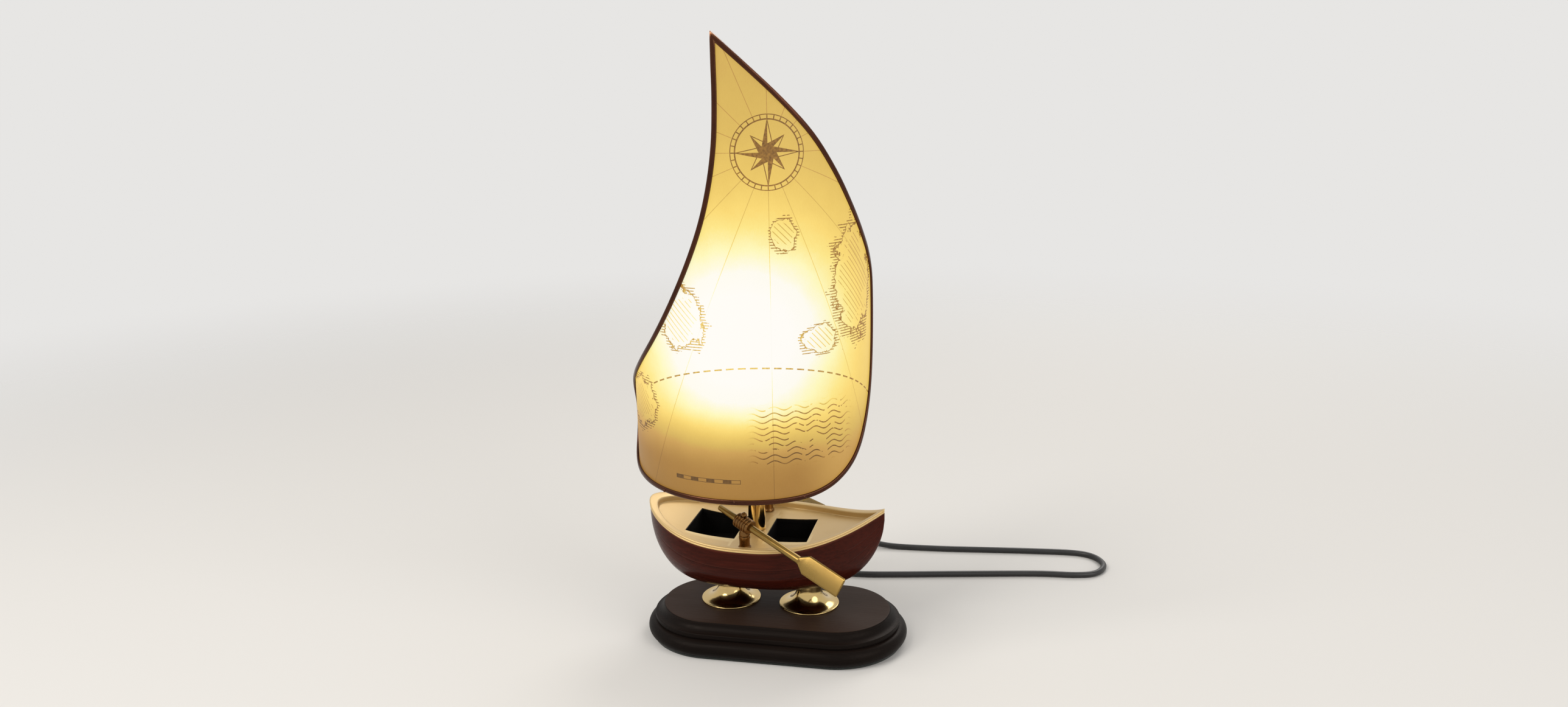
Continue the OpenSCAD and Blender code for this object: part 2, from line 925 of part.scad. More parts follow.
// Sail: a sheet bent round the stem, cut to the outline, with a trim along its whole edge
function on_sail(p, r) = [stem_x + r * sin(p.x), boat_y - r * cos(p.x), sail_foot + sail_h * p.y];
function out_of(p) = [sin(p.x), -cos(p.x), 0];
luff_edge = curve(luff, edge_steps);
leech_edge = curve(leech, edge_steps);
edge_count = len(luff_edge);

module sail_sheet() {
    radii = [sail_r - sail_t / 2, sail_r + sail_t / 2];
    rows = edge_count - 2;
    cols = sail_columns + 1;
    points = [
        for (r = radii)
            each concat(
                [
                    for (i = [1:rows])
                        for (k = [0:sail_columns])
                            on_sail(luff_edge[i] + (leech_edge[i] - luff_edge[i]) * k / sail_columns, r)
                ],
                [on_sail(luff_edge[0], r), on_sail(luff_edge[edge_count - 1], r)]
            )
    ];
    far = rows * cols + 2;
    foot = rows * cols;
    peak = foot + 1;
    last = (rows - 1) * cols;
    fans = [
        for (k = [0:sail_columns - 1])
            each [
                [foot, k + 1, k],
                [peak, last + k, last + k + 1],
                [far + foot, far + k, far + k + 1],
                [far + peak, far + last + k + 1, far + last + k]
            ]
    ];
    rim = concat(
        [foot],
        [for (i = [0:rows - 1]) i * cols + sail_columns],
        [peak],
        [for (i = [rows - 1:-1:0]) i * cols]
    );
    sides = [
        for (i = [0:len(rim) - 1])
            let (a = rim[i], b = rim[(i + 1) % len(rim)])
            each [[a, far + b, b], [a, far + a, far + b]]
    ];
    color([0.84, 0.69, 0.36])
        polyhedron(
            points,
            concat(skin_faces(rows, cols, 0, true), skin_faces(rows, cols, far, false), fans, sides)
        );
}

module sail_trim() {
    loop = concat(luff_edge, [for (i = [edge_count - 2:-1:1]) leech_edge[i]]);
    n = len(loop);
    slot = sail_t / 2 + slot_gap;
    half = trim_t / 2;
    soft = 0.9;
    shape = [
        [slot_gap, -slot], [slot_gap, slot], [-trim_in, slot], [-trim_in, half - soft],
        [-trim_in + soft, half], [trim_out - soft, half], [trim_out, half - soft],
        [trim_out, soft - half], [trim_out - soft, -half], [-trim_in + soft, -half],
        [-trim_in, soft - half], [-trim_in, -slot]
    ];
    points = [
        for (i = [0:n - 1])
            let (
                p = on_sail(loop[i], sail_r),
                before = unit(p - on_sail(loop[(i + n - 1) % n], sail_r)),
                after = unit(on_sail(loop[(i + 1) % n], sail_r) - p),
                er = out_of(loop[i]),
                side = unit(cross(er, unit(before + after))),
                stretch = min(1 / max(norm(before + after) / 2, eps), miter_max)
            )
            for (s = shape)
                p + stretch * s.x * side + s.y * er
    ];
    color([0.29, 0.16, 0.10])
        polyhedron(points, ring_faces(n, len(shape), true));
}

module sail_carrier() {
    arm_end = sail_r - trim_t / 2 - seat_gap;
    color([0.29, 0.16, 0.10])
        at_stem(carrier_z)
            difference() {
                linear_extrude(carrier_t) {
                    circle(carrier_ring_r);
                    for (a = arm_angles)
                        rotate(a - 90)
                            translate([0, -arm_w / 2])
                                square([arm_end, arm_w]);
                }
                translate([0, 0, -1])
                    cylinder(d = nut_bore, h = carrier_t + 2);
            }
}

// Rowlocks and oars: side is -1 for the near one and 1 for the far one
module at_rowlock(side) {
    translate([stem_x, boat_y + side * rowlock_y, 0])
        children();
}

// Turns +X to the oar's own direction, outboard and down
module along_oar(side) {
    translate([0, 0, collar_z])
        rotate([0, 0, side * (90 - (side < 0 ? near_sweep : far_sweep))])
            rotate([0, side < 0 ? near_dip : far_dip, 0])
                children();
}

module rowlock(side) {
    color([0.80, 0.62, 0.28])
        at_rowlock(side)
            translate([0, 0, deck_foot])
                difference() {
                    cylinder(d = post_d, h = post_h);
                    translate([0, 0, post_h - pin_depth - bore_gap])
                        cylinder(d = pin_d + 2 * run_gap, h = pin_depth + 1);
                }
}

module rowlock_near() {
    rowlock(-1);
}

module rowlock_far() {
    rowlock(1);
}

module collar(side) {
    color([0.72, 0.54, 0.24])
        at_rowlock(side)
            difference() {
                union() {
                    translate([0, 0, post_top - pin_depth])
                        cylinder(d = pin_d, h = pin_depth + saddle_h);
                    translate([0, 0, post_top + bore_gap])
                        cylinder(d = post_d, h = saddle_h);
                    along_oar(side)
                        rotate([0, 90, 0])
                            difference() {
                                cylinder(d = collar_d, h = collar_len, center = true);
                                for (k = [1:collar_ridges - 1])
                                    translate([0, 0, collar_len * (k / collar_ridges - 0.5)])
                                        rotate_extrude()
                                            translate([collar_d / 2, 0])
                                                circle(ridge_depth, $fn = 24);
                            }
                    translate([0, 0, collar_z + collar_d / 2 + ball_r / 2])
                        sphere(ball_r);
                }
                along_oar(side)
                    rotate([0, 90, 0])
                        cylinder(d = loom_d + 2 * run_gap, h = collar_len + 4, center = true);
            }
}

module collar_near() {
    collar(-1);
}

module collar_far() {
    collar(1);
}

module oar(side) {
    color([0.72, 0.57, 0.27])
        at_rowlock(side)
            along_oar(side) {
                rotate([0, 90, 0])
                    translate([0, 0, -oar_in])
                        cylinder(d = loom_d, h = oar_in + oar_out + loom_in_blade);
                rotate([0, 90, 0])
                    translate([0, 0, -oar_in])
                        cylinder(d = grip_d, h = grip_len);
                translate([oar_out, 0, 0])
                    rotate([90 + side * blade_feather, 0, 0])
                        linear_extrude(blade_t, center = true)
                            blade_outline();
            }
}

// Blade seen from the side: a round shoulder, straight sides and a square end
module blade_outline() {
    shoulder = blade_w / 2;
    intersection() {
        union() {
            translate([shoulder, 0])
                circle(shoulder);
            translate([shoulder, -shoulder])
                square([blade_len - shoulder, blade_w]);
        }
        translate([0, -shoulder])
            square([blade_len, blade_w]);
    }
}

module oar_near() {
    oar(-1);
}

module oar_far() {
    oar(1);
}

// Leads
module inner_lead() {
    low = felt_t + lead_d / 2 + 0.4;
    x0 = pillar_xs[0];
    under = tray_z - lead_d;
    path = curve(
        [
            [gland_x, plinth_r - 2, gland_z], [gland_x, plinth_r - 12, gland_z],
            [gland_x, plinth_r - 24, gland_z - 1], [(gland_x + x0) / 2, boat_y + 9, low + 0.6],
            [x0 + 2.5, boat_y + 1.5, low + 1], [x0, boat_y, low + 4.5], [x0, boat_y, pocket_top],
            [x0, boat_y, tie_high], [x0 + 2, boat_y, tie_high + 4], [x0 + 8, boat_y, under - 1],
            [stem_x - 6, boat_y, under], [stem_x - 1, boat_y, under + 3], [stem_x, boat_y, under + 9],
            [stem_x, boat_y, deck_z], [stem_x, boat_y, holder_z], [stem_x, boat_y, insert_z]
        ],
        3
    );
    color([0.85, 0.85, 0.82])
        tube(path, lead_d / 2, lead_sides, head_of(path), tail_of(path));
}

module lead_gland() {
    color([0.05, 0.05, 0.05])
        translate([gland_x, plinth_r, gland_z])
            rotate([-90, 0, 0])
                difference() {
                    union() {
                        translate([0, 0, gland_short - pocket_wall])
                            cylinder(d = gland_neck_d, h = pocket_wall - gland_short + flange_t);
                        cylinder(r = flange_r, h = flange_t);
                        translate([0, 0, flange_t])
                            cylinder(d1 = relief_d, d2 = relief_tip_d, h = relief_len);
                    }
                    translate([0, 0, -pocket_wall])
                        cylinder(d = lead_d + 1, h = pocket_wall + flange_t);
                }
}

module on_route() {
    translate(cord_from)
        children();
}

run_path = curve(run_points, 3);
tail_path = curve(tail_points, 2);
end_path = curve(end_points, 2);

module cord_run() {
    color([0.06, 0.06, 0.06])
        on_route()
            tube(run_path, cord_r, cord_sides, head_of(run_points), tail_of(run_points));
}

module cord_tail() {
    color([0.06, 0.06, 0.06])
        on_route()
            tube(tail_path, cord_r, cord_sides, head_of(tail_points), tail_of(tail_points));
}

module cord_end() {
    color([0.06, 0.06, 0.06])
        on_route()
            tube(end_path, cord_r, cord_sides, head_of(end_points), tail_of(end_points));
}

// Coil: turns in, half a turn that climbs while the spiral reverses, and turns out again
coil_total = 2 * coil_turns + 0.5;
coil_rings = ceil(coil_total * rings_per_turn);
function coil_radius(s) = coil_r - coil_step * min(s, coil_total - s);
function coil_height(s) = coil_low + coil_step * min(max((s - coil_turns) * 2, 0), 1);
function coil_point(s) = [
    coil_mid.x + coil_radius(s) * cos(-90 - 360 * s),
    coil_mid.y + coil_radius(s) * sin(-90 - 360 * s),
    coil_height(s)
];
coil_path = concat(
    [coil_point(0) + [cord_d, 0, 0]],
    [for (i = [0:coil_rings]) coil_point(coil_total * i / coil_rings)],
    [coil_point(coil_total) + [cord_d, 0, 0]]
);
function coil_gap(p) = min([
    for (i = [0:len(p) - 1])
        for (j = [i + rings_per_turn / 2:len(p) - 1])
            if (j < len(p)) norm(p[i] - p[j])
]) - cord_d;
echo(coil_gap = coil_gap(coil_path));
echo(
    cord_length = run_length(run_path) + run_length(tail_path) + run_length(coil_path)
        + run_length(end_path)
);

module cord_coil() {
    color([0.06, 0.06, 0.06])
        on_route()
            tube(coil_path, cord_r, coil_sides, head_of(coil_path), tail_of(coil_path));
}

// Switch on the lead
module rounded(l, w, r) {
    square([l - 2 * r, w], center = true);
    square([l, w - 2 * r], center = true);
    for (x = [-1, 1], y = [-1, 1])
        translate([x * (l / 2 - r), y * (w / 2 - r)])
            circle(r);
}

module at_switch() {
    on_route()
        translate([switch_mid.x, switch_mid.y, 0])
            children();
}

rocker_len = 15.2;
rocker_w = 10.4;
rocker_crown = 5.6;
rocker_edge = 4.2;
rocker_flank = 1;
rocker_foot = [2, -2.5];
window_len = rocker_len + 2;
window_w = rocker_w + 0.8;
pivot_d = 2.4;
pivot_z = switch_h - 5;
pivot_len = rocker_w + 5;
ear_t = 3;
screw_x = switch_len / 2 - switch_end / 2;
screw_y = switch_w / 2 - 4.6;
screw_d = 2.6;
head_d = 5;
head_h = 2;
screw_len = switch_h - 7;

module at_screws() {
    for (s = [-1, 1])
        translate([s * screw_x, s * screw_y, 0])
            children();
}

module switch_inside(z, h) {
    translate([0, 0, z])
        linear_extrude(h)
            square([switch_len - 2 * switch_end, switch_w - 2 * switch_wall], center = true);
}

module switch_bottom() {
    color([0.05, 0.05, 0.05])
        at_switch()
            difference() {
                linear_extrude(switch_split)
                    rounded(switch_len, switch_w, switch_round);
                switch_inside(switch_wall, switch_split);
                at_screws() {
                    translate([0, 0, -1])
                        cylinder(d = screw_d + 2 * hole_gap, h = switch_split + 2);
                    translate([0, 0, -1])
                        cylinder(d = head_d + 2 * hole_gap, h = head_h + bore_gap + 1);
                }
            }
}

module switch_top() {
    color([0.05, 0.05, 0.05])
        at_switch()
            difference() {
                union() {
                    difference() {
                        translate([0, 0, switch_split])
                            linear_extrude(switch_h - switch_split)
                                rounded(switch_len, switch_w, switch_round);
                        switch_inside(switch_split - 1, switch_h - switch_split - switch_wall + 1);
                    }
                    for (s = [-1, 1])
                        translate([-ear_t, s > 0 ? window_w / 2 : -window_w / 2 - ear_t, pivot_z - ear_t])
                            cube([2 * ear_t, ear_t, switch_h - switch_wall - pivot_z + ear_t]);
                }
                translate([0, 0, switch_h])
                    cube([window_len, window_w, 4 * switch_wall], center = true);
                translate([0, 0, pivot_z])
                    rotate([90, 0, 0])
                        cylinder(d = pivot_d + 2 * run_gap, h = switch_w - 3 * switch_wall, center = true);
                at_screws()
                    cylinder(d = screw_d + 2 * run_gap, h = head_h + screw_len + 0.5);
            }
}

module switch_rocker() {
    color([0.12, 0.12, 0.12])
        at_switch()
            translate([0, 0, pivot_z])
                rotate([90, -rocker_tilt, 0]) {
                    linear_extrude(rocker_w, center = true)
                        polygon([
                            [-rocker_len / 2, rocker_flank], [-rocker_len / 2, rocker_edge],
                            [0, rocker_crown], [rocker_len / 2, rocker_edge],
                            [rocker_len / 2, rocker_flank], rocker_foot, [-rocker_foot.x, rocker_foot.y]
                        ]);
                    cylinder(d = pivot_d, h = pivot_len, center = true);
                }
}

module switch_screws() {
    color("silver")
        at_switch()
            at_screws() {
                translate([0, 0, bore_gap / 2])
                    cylinder(d = head_d, h = head_h);
                cylinder(d = screw_d, h = head_h + screw_len);
            }
}

// Plug at the end of the lead
module at_plug() {
    on_route()
        translate([plug_tip, coil_back, plug_z])
            children();
}

plug_pin_d = 4;
plug_pin_len = 19;
plug_pin_in = 8;

module plug_relief() {
    color([0.05, 0.05, 0.05])
        at_plug()
            rotate([0, 90, 0])
                cylinder(d1 = relief_tip_d, d2 = relief_d, h = relief_len);
}

module plug_body() {
    color([0.05, 0.05, 0.05])
        at_plug()
            translate([relief_len + plug_len / 2, 0, 0])
                difference() {
                    linear_extrude(plug_t, center = true)
                        rounded(plug_len, plug_w, plug_round);
                    for (s = [-1, 1])
                        translate([plug_len / 2 - plug_pin_in, s * pin_gap / 2, 0])
                            rotate([0, 90, 0])
                                cylinder(d = plug_pin_d + 2 * run_gap, h = plug_pin_in + 1);
                }
}

module plug_pins() {
    color("silver")
        at_plug()
            for (s = [-1, 1])
                translate([relief_len + plug_len - plug_pin_in, s * pin_gap / 2, 0])
                    rotate([0, 90, 0])
                        cylinder(d = plug_pin_d, h = plug_pin_in + plug_pin_len);
}

felt_pad();
plinth();
pillar_left();
pillar_right();
tie_tube_left();
tie_tube_right();
tie_nuts();
tie_washers();
hull_near();
hull_far();
gunwale_rail();
deck();
well_tray_left();
well_tray_right();
stem_tube();
stem_sleeve();
stem_nut();
stem_washer();
holder_cap();
holder_shell();
holder_insert();
holder_thread();
holder_contact();
bulb_cap();
bulb_tip();
bulb_glass();
sail_carrier();
sail_sheet();
sail_trim();
rowlock_near();
rowlock_far();
collar_near();
collar_far();
oar_near();
oar_far();
inner_lead();
lead_gland();
cord_run();
cord_tail();
cord_coil();
cord_end();
switch_bottom();
switch_top();
switch_rocker();
switch_screws();
plug_body();
plug_pins();
plug_relief();
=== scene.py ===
import math

import bmesh
import bpy
from mathutils import Matrix, Vector


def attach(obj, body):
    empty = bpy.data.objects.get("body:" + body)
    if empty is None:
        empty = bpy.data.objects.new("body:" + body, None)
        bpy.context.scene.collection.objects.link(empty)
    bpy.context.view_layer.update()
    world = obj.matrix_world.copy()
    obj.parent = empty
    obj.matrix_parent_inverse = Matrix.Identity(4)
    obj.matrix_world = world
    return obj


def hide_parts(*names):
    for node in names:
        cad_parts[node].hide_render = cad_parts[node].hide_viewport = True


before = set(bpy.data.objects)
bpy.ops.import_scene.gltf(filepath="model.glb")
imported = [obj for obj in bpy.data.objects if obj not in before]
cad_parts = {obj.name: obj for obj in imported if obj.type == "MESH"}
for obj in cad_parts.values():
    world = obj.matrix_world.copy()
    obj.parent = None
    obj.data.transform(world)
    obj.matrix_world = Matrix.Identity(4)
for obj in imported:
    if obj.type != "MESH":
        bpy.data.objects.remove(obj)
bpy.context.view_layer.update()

bl_info = {
    "name": "Sailing-boat table lamp",
    "version": (1, 0, 0),
    "blender": (4, 5, 0),
    "location": "3D View > Sidebar > Boat Lamp",
    "description": "Dresses the packed lamp with fine meshes and procedural finishes",
    "category": "Object",
}

MM = 0.001
WELD = 2e-6
TURN = 2 * math.pi
PHOTO_WIDTH = 2576
SENSOR_WIDTH = 36

# Places, in millimetres
PILLARS = {"left": -36.75, "right": 24.75}
WELLS = {"left": (-65.0, -27.0), "right": (-5.0, 28.0)}
HALF_WELL = 23.5
DECK_TOP = 83.3
BUSH_PLACE = (-20, 54, 7.3)
SWITCH_PLACE = (-5, 180)
PLUG_BACK = (-40, 228.6, 8)
PLUG_LONG = 34
HALF_PIN_GAP = 9.3

# Edges of the sail as degrees round the stem and shares of its height, from the foot to the peak
LUFF = [
    (12, 0), (2, 0.0005), (-8, 0.001), (-18, 0.002), (-28, 0.0035), (-38, 0.006), (-48, 0.01),
    (-58, 0.0165), (-67, 0.027), (-75, 0.046), (-80.5, 0.075), (-83, 0.115), (-81, 0.165),
    (-73, 0.212), (-62, 0.25), (-50, 0.295), (-38, 0.352), (-27, 0.424), (-17, 0.511),
    (-9, 0.603), (-4, 0.69), (-1, 0.78), (0, 0.87), (0, 0.95), (0, 1),
]
LEECH = [
    (12, 0), (20, 0.0005), (28, 0.0015), (36, 0.004), (43, 0.009), (50, 0.018), (56, 0.03),
    (62, 0.046), (68, 0.068), (74, 0.1), (80, 0.145), (85, 0.19), (89, 0.235), (92, 0.285),
    (94, 0.34), (94, 0.4), (91, 0.465), (84, 0.52), (75, 0.577), (65, 0.644), (54, 0.722),
    (42, 0.8), (28, 0.872), (13, 0.942), (0, 1),
]

# Route of the lead from the tip of the strain relief, in metres
RELIEF_TIP = Vector((-0.020, 0.081, 0.0))
RUN_ROUTE = [
    (0, 0, 0.0073), (0, 0.006, 0.0073), (0.003, 0.020, 0.0048), (0.014, 0.031, 0.003),
    (0.030, 0.034, 0.0025), (0.069, 0.034, 0.0025), (0.102, 0.039, 0.0025),
    (0.143, 0.047, 0.0025), (0.214, 0.060, 0.0025), (0.248, 0.063, 0.0025),
    (0.265, 0.070, 0.0025), (0.272, 0.087, 0.0025), (0.265, 0.104, 0.0025),
    (0.248, 0.111, 0.0025), (0.210, 0.109, 0.0025), (0.170, 0.105, 0.0025),
    (0.130, 0.101, 0.0025), (0.090, 0.099, 0.0028), (0.070, 0.099, 0.005),
    (0.051, 0.099, 0.007), (0.045, 0.099, 0.007),
]
TAIL_ROUTE = [
    (-0.015, 0.099, 0.007), (-0.0226, 0.099, 0.007), (-0.0296, 0.0976, 0.0062),
    (-0.037, 0.0939, 0.0048), (-0.043, 0.0884, 0.0034), (-0.0496, 0.0806, 0.0026),
    (-0.0573, 0.0746, 0.0025), (-0.065, 0.0715, 0.0025), (-0.073, 0.0704, 0.0025),
    (-0.080, 0.0704, 0.0025),
]
END_ROUTE = [
    (-0.080, 0.1476, 0.0081), (-0.074, 0.1476, 0.0081), (-0.061, 0.1476, 0.008),
    (-0.051, 0.1476, 0.008), (-0.045, 0.1476, 0.008),
]
ROUTE_STEPS = 8
COIL_MIDDLE = Vector((-0.085, 0.109, 0))
COIL_RADIUS = 0.0386
COIL_STEP = 0.0056
COIL_TURNS = 3
COIL_LOW = 0.0025
COIL_POINTS = 48


# Settings

def size(name, description, default):
    return bpy.props.FloatProperty(
        name=name, description=description, default=default, unit="LENGTH", precision=4
    )


def angle(name, description, degrees):
    return bpy.props.FloatProperty(
        name=name, description=description, default=math.radians(degrees), subtype="ANGLE"
    )


def tint(name, description, default):
    return bpy.props.FloatVectorProperty(
        name=name, description=description, default=default, subtype="COLOR", min=0, max=1
    )


class CameraSettings(bpy.types.PropertyGroup):
    place: bpy.props.FloatVectorProperty(
        name="Place", description="Where the camera stands",
        default=(0.185255, -0.810462, 0.416480), subtype="XYZ", unit="LENGTH",
    )
    turn: angle("Turn", "Turn to the left of straight ahead", 12.24)
    tilt: angle("Tilt", "Tilt below the horizon", 13.2)
    roll: angle("Roll", "Roll of the frame", 1.0)
    focal: bpy.props.FloatProperty(
        name="Focal length", description="Focal length in pixels of the full frame",
        default=1925.05, subtype="PIXEL",
    )


class PlinthSettings(bpy.types.PropertyGroup):
    spine: size("Spine", "Half the length of the straight sides", 0.046)
    top_reach: size("Top reach", "Top face from the spine to its edge", 0.0415)
    lip_reach: size("Lip reach", "Lip from the spine to its edge", 0.0486)
    bead_reach: size("Bead reach", "Middle of the bead from the spine", 0.0478)
    wood_dark: tint("Dark wood", "Stain in the pores", (0.0042, 0.0031, 0.0028))
    wood_light: tint("Light wood", "Stain between the pores", (0.0095, 0.0067, 0.0056))
    # The dust tint is also painted light: it makes the top face paler, as if lit from above.
    dust: tint("Dust", "Dulled top face", (0.056, 0.031, 0.021))
    felt: tint("Felt", "Felt pad under the plinth", (0.016, 0.022, 0.017))


class BoatSettings(bpy.types.PropertyGroup):
    middle: size("Middle", "Middle of the boat along the plinth", -0.008)
    centre: size("Centre line", "Boat's centre line behind the plinth's", 0.005)
    length: size("Length", "Length of the boat at its rail", 0.180)
    beam: size("Beam", "Beam of the boat at its rail", 0.104)
    keel: size("Keel", "Height of the keel amidships", 0.043)
    rail: size("Rail", "Height of the rail's top amidships", 0.0875)
    sheer: size("Sheer", "Rise of the rail at the ends", 0.017)
    keel_rise: size("Keel rise", "Rise of the keel at the ends", 0.045)
    wall: size("Wall", "Thickness of the hull's wall", 0.003)
    lap: size("Lap", "Step from one plank to the next", 0.0014)
    planks: bpy.props.IntProperty(
        name="Planks", description="Planks on each side", default=6, min=4, max=8
    )
    hull_dark: tint("Dark lacquer", "Dark streaks of the hull", (0.018, 0.0028, 0.0016))
    hull_light: tint("Light lacquer", "Light streaks of the hull", (0.068, 0.0098, 0.0050))
    gold: tint("Gold", "Gold of the deck and the rail", (0.64, 0.445, 0.19))
    gold_worn: tint("Worn gold", "Rubbed patches of the gold", (0.53, 0.355, 0.14))
    well: tint("Well", "Black lining of the wells", (0.0042, 0.0036, 0.0034))


class MetalSettings(bpy.types.PropertyGroup):
    brass: tint("Brass", "Polished brass", (0.62, 0.45, 0.19))
    brass_dull: tint("Dull brass", "Tarnish of the brass", (0.37, 0.245, 0.09))
    brass_cast: tint("Cast brass", "Brass of the oars", (0.275, 0.175, 0.050))
    brass_aged: tint("Aged brass", "Brass of the rowlocks and collars", (0.180, 0.090, 0.030))
    brass_dark: tint("Dark brass", "Tarnish of the oars", (0.120, 0.062, 0.018))
    steel: tint("Steel", "Nickelled steel", (0.62, 0.61, 0.58))
    steel_dull: tint("Dull steel", "Tarnish of the steel", (0.42, 0.41, 0.39))
    cap: tint("Cap", "Screw cap of the bulb", (0.66, 0.65, 0.62))
    cap_dull: tint("Dull cap", "Tarnish of the cap", (0.48, 0.46, 0.42))


class SailSettings(bpy.types.PropertyGroup):
    stem_x: size("Stem", "Place of the stem along the boat", -0.015)
    radius: size("Radius", "Radius to which the sail is bent", 0.086)
    foot: size("Foot", "Height of the sail's foot", 0.136)
    height: size("Height", "Height from the foot to the peak", 0.307)
    thickness: size("Thickness", "Thickness of the sheet", 0.0008)
    trim_in: size("Trim inside", "Width of the trim over the sail", 0.0018)
    trim_out: size("Trim outside", "Width of the trim past the edge", 0.0018)
    trim_thick: size("Trim thickness", "Thickness of the trim", 0.0046)
    glow_turn: angle("Glow turn", "Brightest place round the stem", 8)
    glow_height: size("Glow height", "Height of the brightest place", 0.250)
    bronze: tint("Bronze", "Edge trim", (0.072, 0.0230, 0.0110))


class BulbSettings(bpy.types.PropertyGroup):
    globe: size("Globe", "Radius of the globe", 0.028)
    globe_height: size("Globe height", "Height of the globe's centre", 0.2378)
    cap_radius: size("Cap radius", "Radius of the screw cap", 0.0133)
    light: tint("Light", "Colour of the lit glass", (1.0, 0.84, 0.55))


class OarSettings(bpy.types.PropertyGroup):
    reach: size("Reach", "Rowlocks from the boat's centre line", 0.039)
    collar_height: size("Collar height", "Height of an oar where it is held", 0.102)
    near_sweep: angle("Near sweep", "Turn of the near oar from the bow", 30)
    near_dip: angle("Near dip", "Dip of the near oar", 15)
    far_sweep: angle("Far sweep", "Turn of the far oar from the bow", 70)
    far_dip: angle("Far dip", "Dip of the far oar", 30)
    feather: angle("Feather", "Lean of a blade in over its oar", 28)
    inboard: size("Inboard", "Length of an oar inside its rowlock", 0.026)
    outboard: size("Outboard", "Length from the rowlock to the blade", 0.055)
    blade_length: size("Blade length", "Length of a blade", 0.0395)
    blade_width: size("Blade width", "Width of a blade", 0.014)


class LeadSettings(bpy.types.PropertyGroup):
    diameter: size("Diameter", "Diameter of the lead", 0.005)
    run_length: size("Run", "Lead from the plinth to the switch", 0.552)
    coil_length: size("Coil", "Lead from the switch to the plug", 1.325)
    black: tint("Black", "Sheath of the lead, the switch and the plug", (0.0115, 0.0112, 0.0112))
    core: tint("Core", "Wire inside the lamp", (0.60, 0.59, 0.55))


class StageSettings(bpy.types.PropertyGroup):
    floor: tint("Floor", "Pale floor", (0.80, 0.785, 0.765))
    background: tint("Background", "What the camera sees behind", (0.80, 0.79, 0.775))
    ambient: bpy.props.FloatProperty(
        name="Ambient", description="Soft light from all round", default=0.42, min=0
    )


class LampSettings(bpy.types.PropertyGroup):
    camera: bpy.props.PointerProperty(type=CameraSettings, name="Camera")
    plinth: bpy.props.PointerProperty(type=PlinthSettings, name="Plinth")
    boat: bpy.props.PointerProperty(type=BoatSettings, name="Boat")
    metal: bpy.props.PointerProperty(type=MetalSettings, name="Metal")
    sail: bpy.props.PointerProperty(type=SailSettings, name="Sail")
    bulb: bpy.props.PointerProperty(type=BulbSettings, name="Bulb")
    oar: bpy.props.PointerProperty(type=OarSettings, name="Oars")
    lead: bpy.props.PointerProperty(type=LeadSettings, name="Lead")
    stage: bpy.props.PointerProperty(type=StageSettings, name="Stage")


# Shapes, in millimetres

def curve(points, steps):
    """A smooth curve through points, with that many steps between two of them."""
    last = len(points) - 1
    out = []
    for i in range(last):
        a, b, c, d = (Vector(points[min(max(i + k, 0), last)]) for k in (-1, 0, 1, 2))
        for k in range(steps):
            t = k / steps
            out.append(
                b + (c - a) * (t / 2)
                + (2 * a - 5 * b + 4 * c - d) * (t * t / 2)
                + (3 * b - a - 3 * c + d) * (t ** 3 / 2)
            )
    return out + [Vector(points[last])]


def eased(corners, steps=4, closed=False):
    """A line of (x, y, ease) with each corner rounded off over that ease."""
    out, n = [], len(corners)
    for i, corner in enumerate(corners):
        p = Vector(corner[:2])
        ease = corner[2] if len(corner) > 2 else 0
        if ease == 0 or (not closed and i in (0, n - 1)):
            out.append(tuple(p))
            continue
        before = Vector(corners[i - 1][:2]) - p
        after = Vector(corners[(i + 1) % n][:2]) - p
        start = p + before.normalized() * min(ease, before.length * 0.48)
        end = p + after.normalized() * min(ease, after.length * 0.48)
        for k in range(steps + 1):
            t = k / steps
            out.append(tuple(start * (1 - t) ** 2 + p * 2 * t * (1 - t) + end * t * t))
    return out


def arc(x, y, r, start, end, steps):
    """Points on a circle, from one angle to another in degrees."""
    angles = [math.radians(start + (end - start) * k / steps) for k in range(steps + 1)]
    return [(x + r * math.cos(a), y + r * math.sin(a)) for a in angles]


def skin(rings, loop=False, open_ring=False):
    """Points and faces over rings of points, with a cap on each end unless they loop."""
    n, rows = len(rings[0]), len(rings)
    faces = []
    for i in range(rows if loop else rows - 1):
        for k in range(n - 1 if open_ring else n):
            a, b = i * n + k, i * n + (k + 1) % n
            j = (i + 1) % rows
            faces.append((a, b, j * n + (k + 1) % n, j * n + k))
    if not loop:
        faces.append(tuple(range(n))[::-1])
        faces.append(tuple((rows - 1) * n + k for k in range(n)))
    return [tuple(p) for ring in rings for p in ring], faces


def lathe(profile, sides, wave=None, loop=False):
    """A profile of (radius, height) turned round Z; wave may change the radius."""
    rings = []
    for r, z in profile:
        ring = []
        for k in range(sides):
            a = TURN * k / sides
            reach = r + (wave(r, z, a) if wave else 0)
            ring.append((reach * math.cos(a), reach * math.sin(a), z))
        rings.append(ring)
    return skin(rings, loop)


def joined(*shapes):
    """Several shapes of points and faces as one."""
    points, faces = [], []
    for more, rows in shapes:
        base = len(points)
        points += more
        faces += [tuple(base + k for k in row) for row in rows]
    return points, faces


def moved(shape, matrix):
    points, faces = shape
    return [tuple(matrix @ Vector(p)) for p in points], faces


def upright(x, y, z):
    return Matrix.Translation((x, y, z))


def on_stem(settings):
    """The foot of the stem's middle line."""
    return upright(settings.sail.stem_x / MM, settings.boat.centre / MM, 0)


def toward(x, y, z, axis):
    """A place whose Z runs along an axis."""
    return Matrix.Translation((x, y, z)) @ Vector(axis).to_track_quat("Z", "Y").to_matrix().to_4x4()


def oblong(length, width, r, steps=8):
    """A rectangle with round corners, as points from its middle."""
    out = []
    for sx, sy, start in ((1, 1, 0), (-1, 1, 90), (-1, -1, 180), (1, -1, 270)):
        out += arc(sx * (length / 2 - r), sy * (width / 2 - r), r, start, start + 90, steps)
    return out


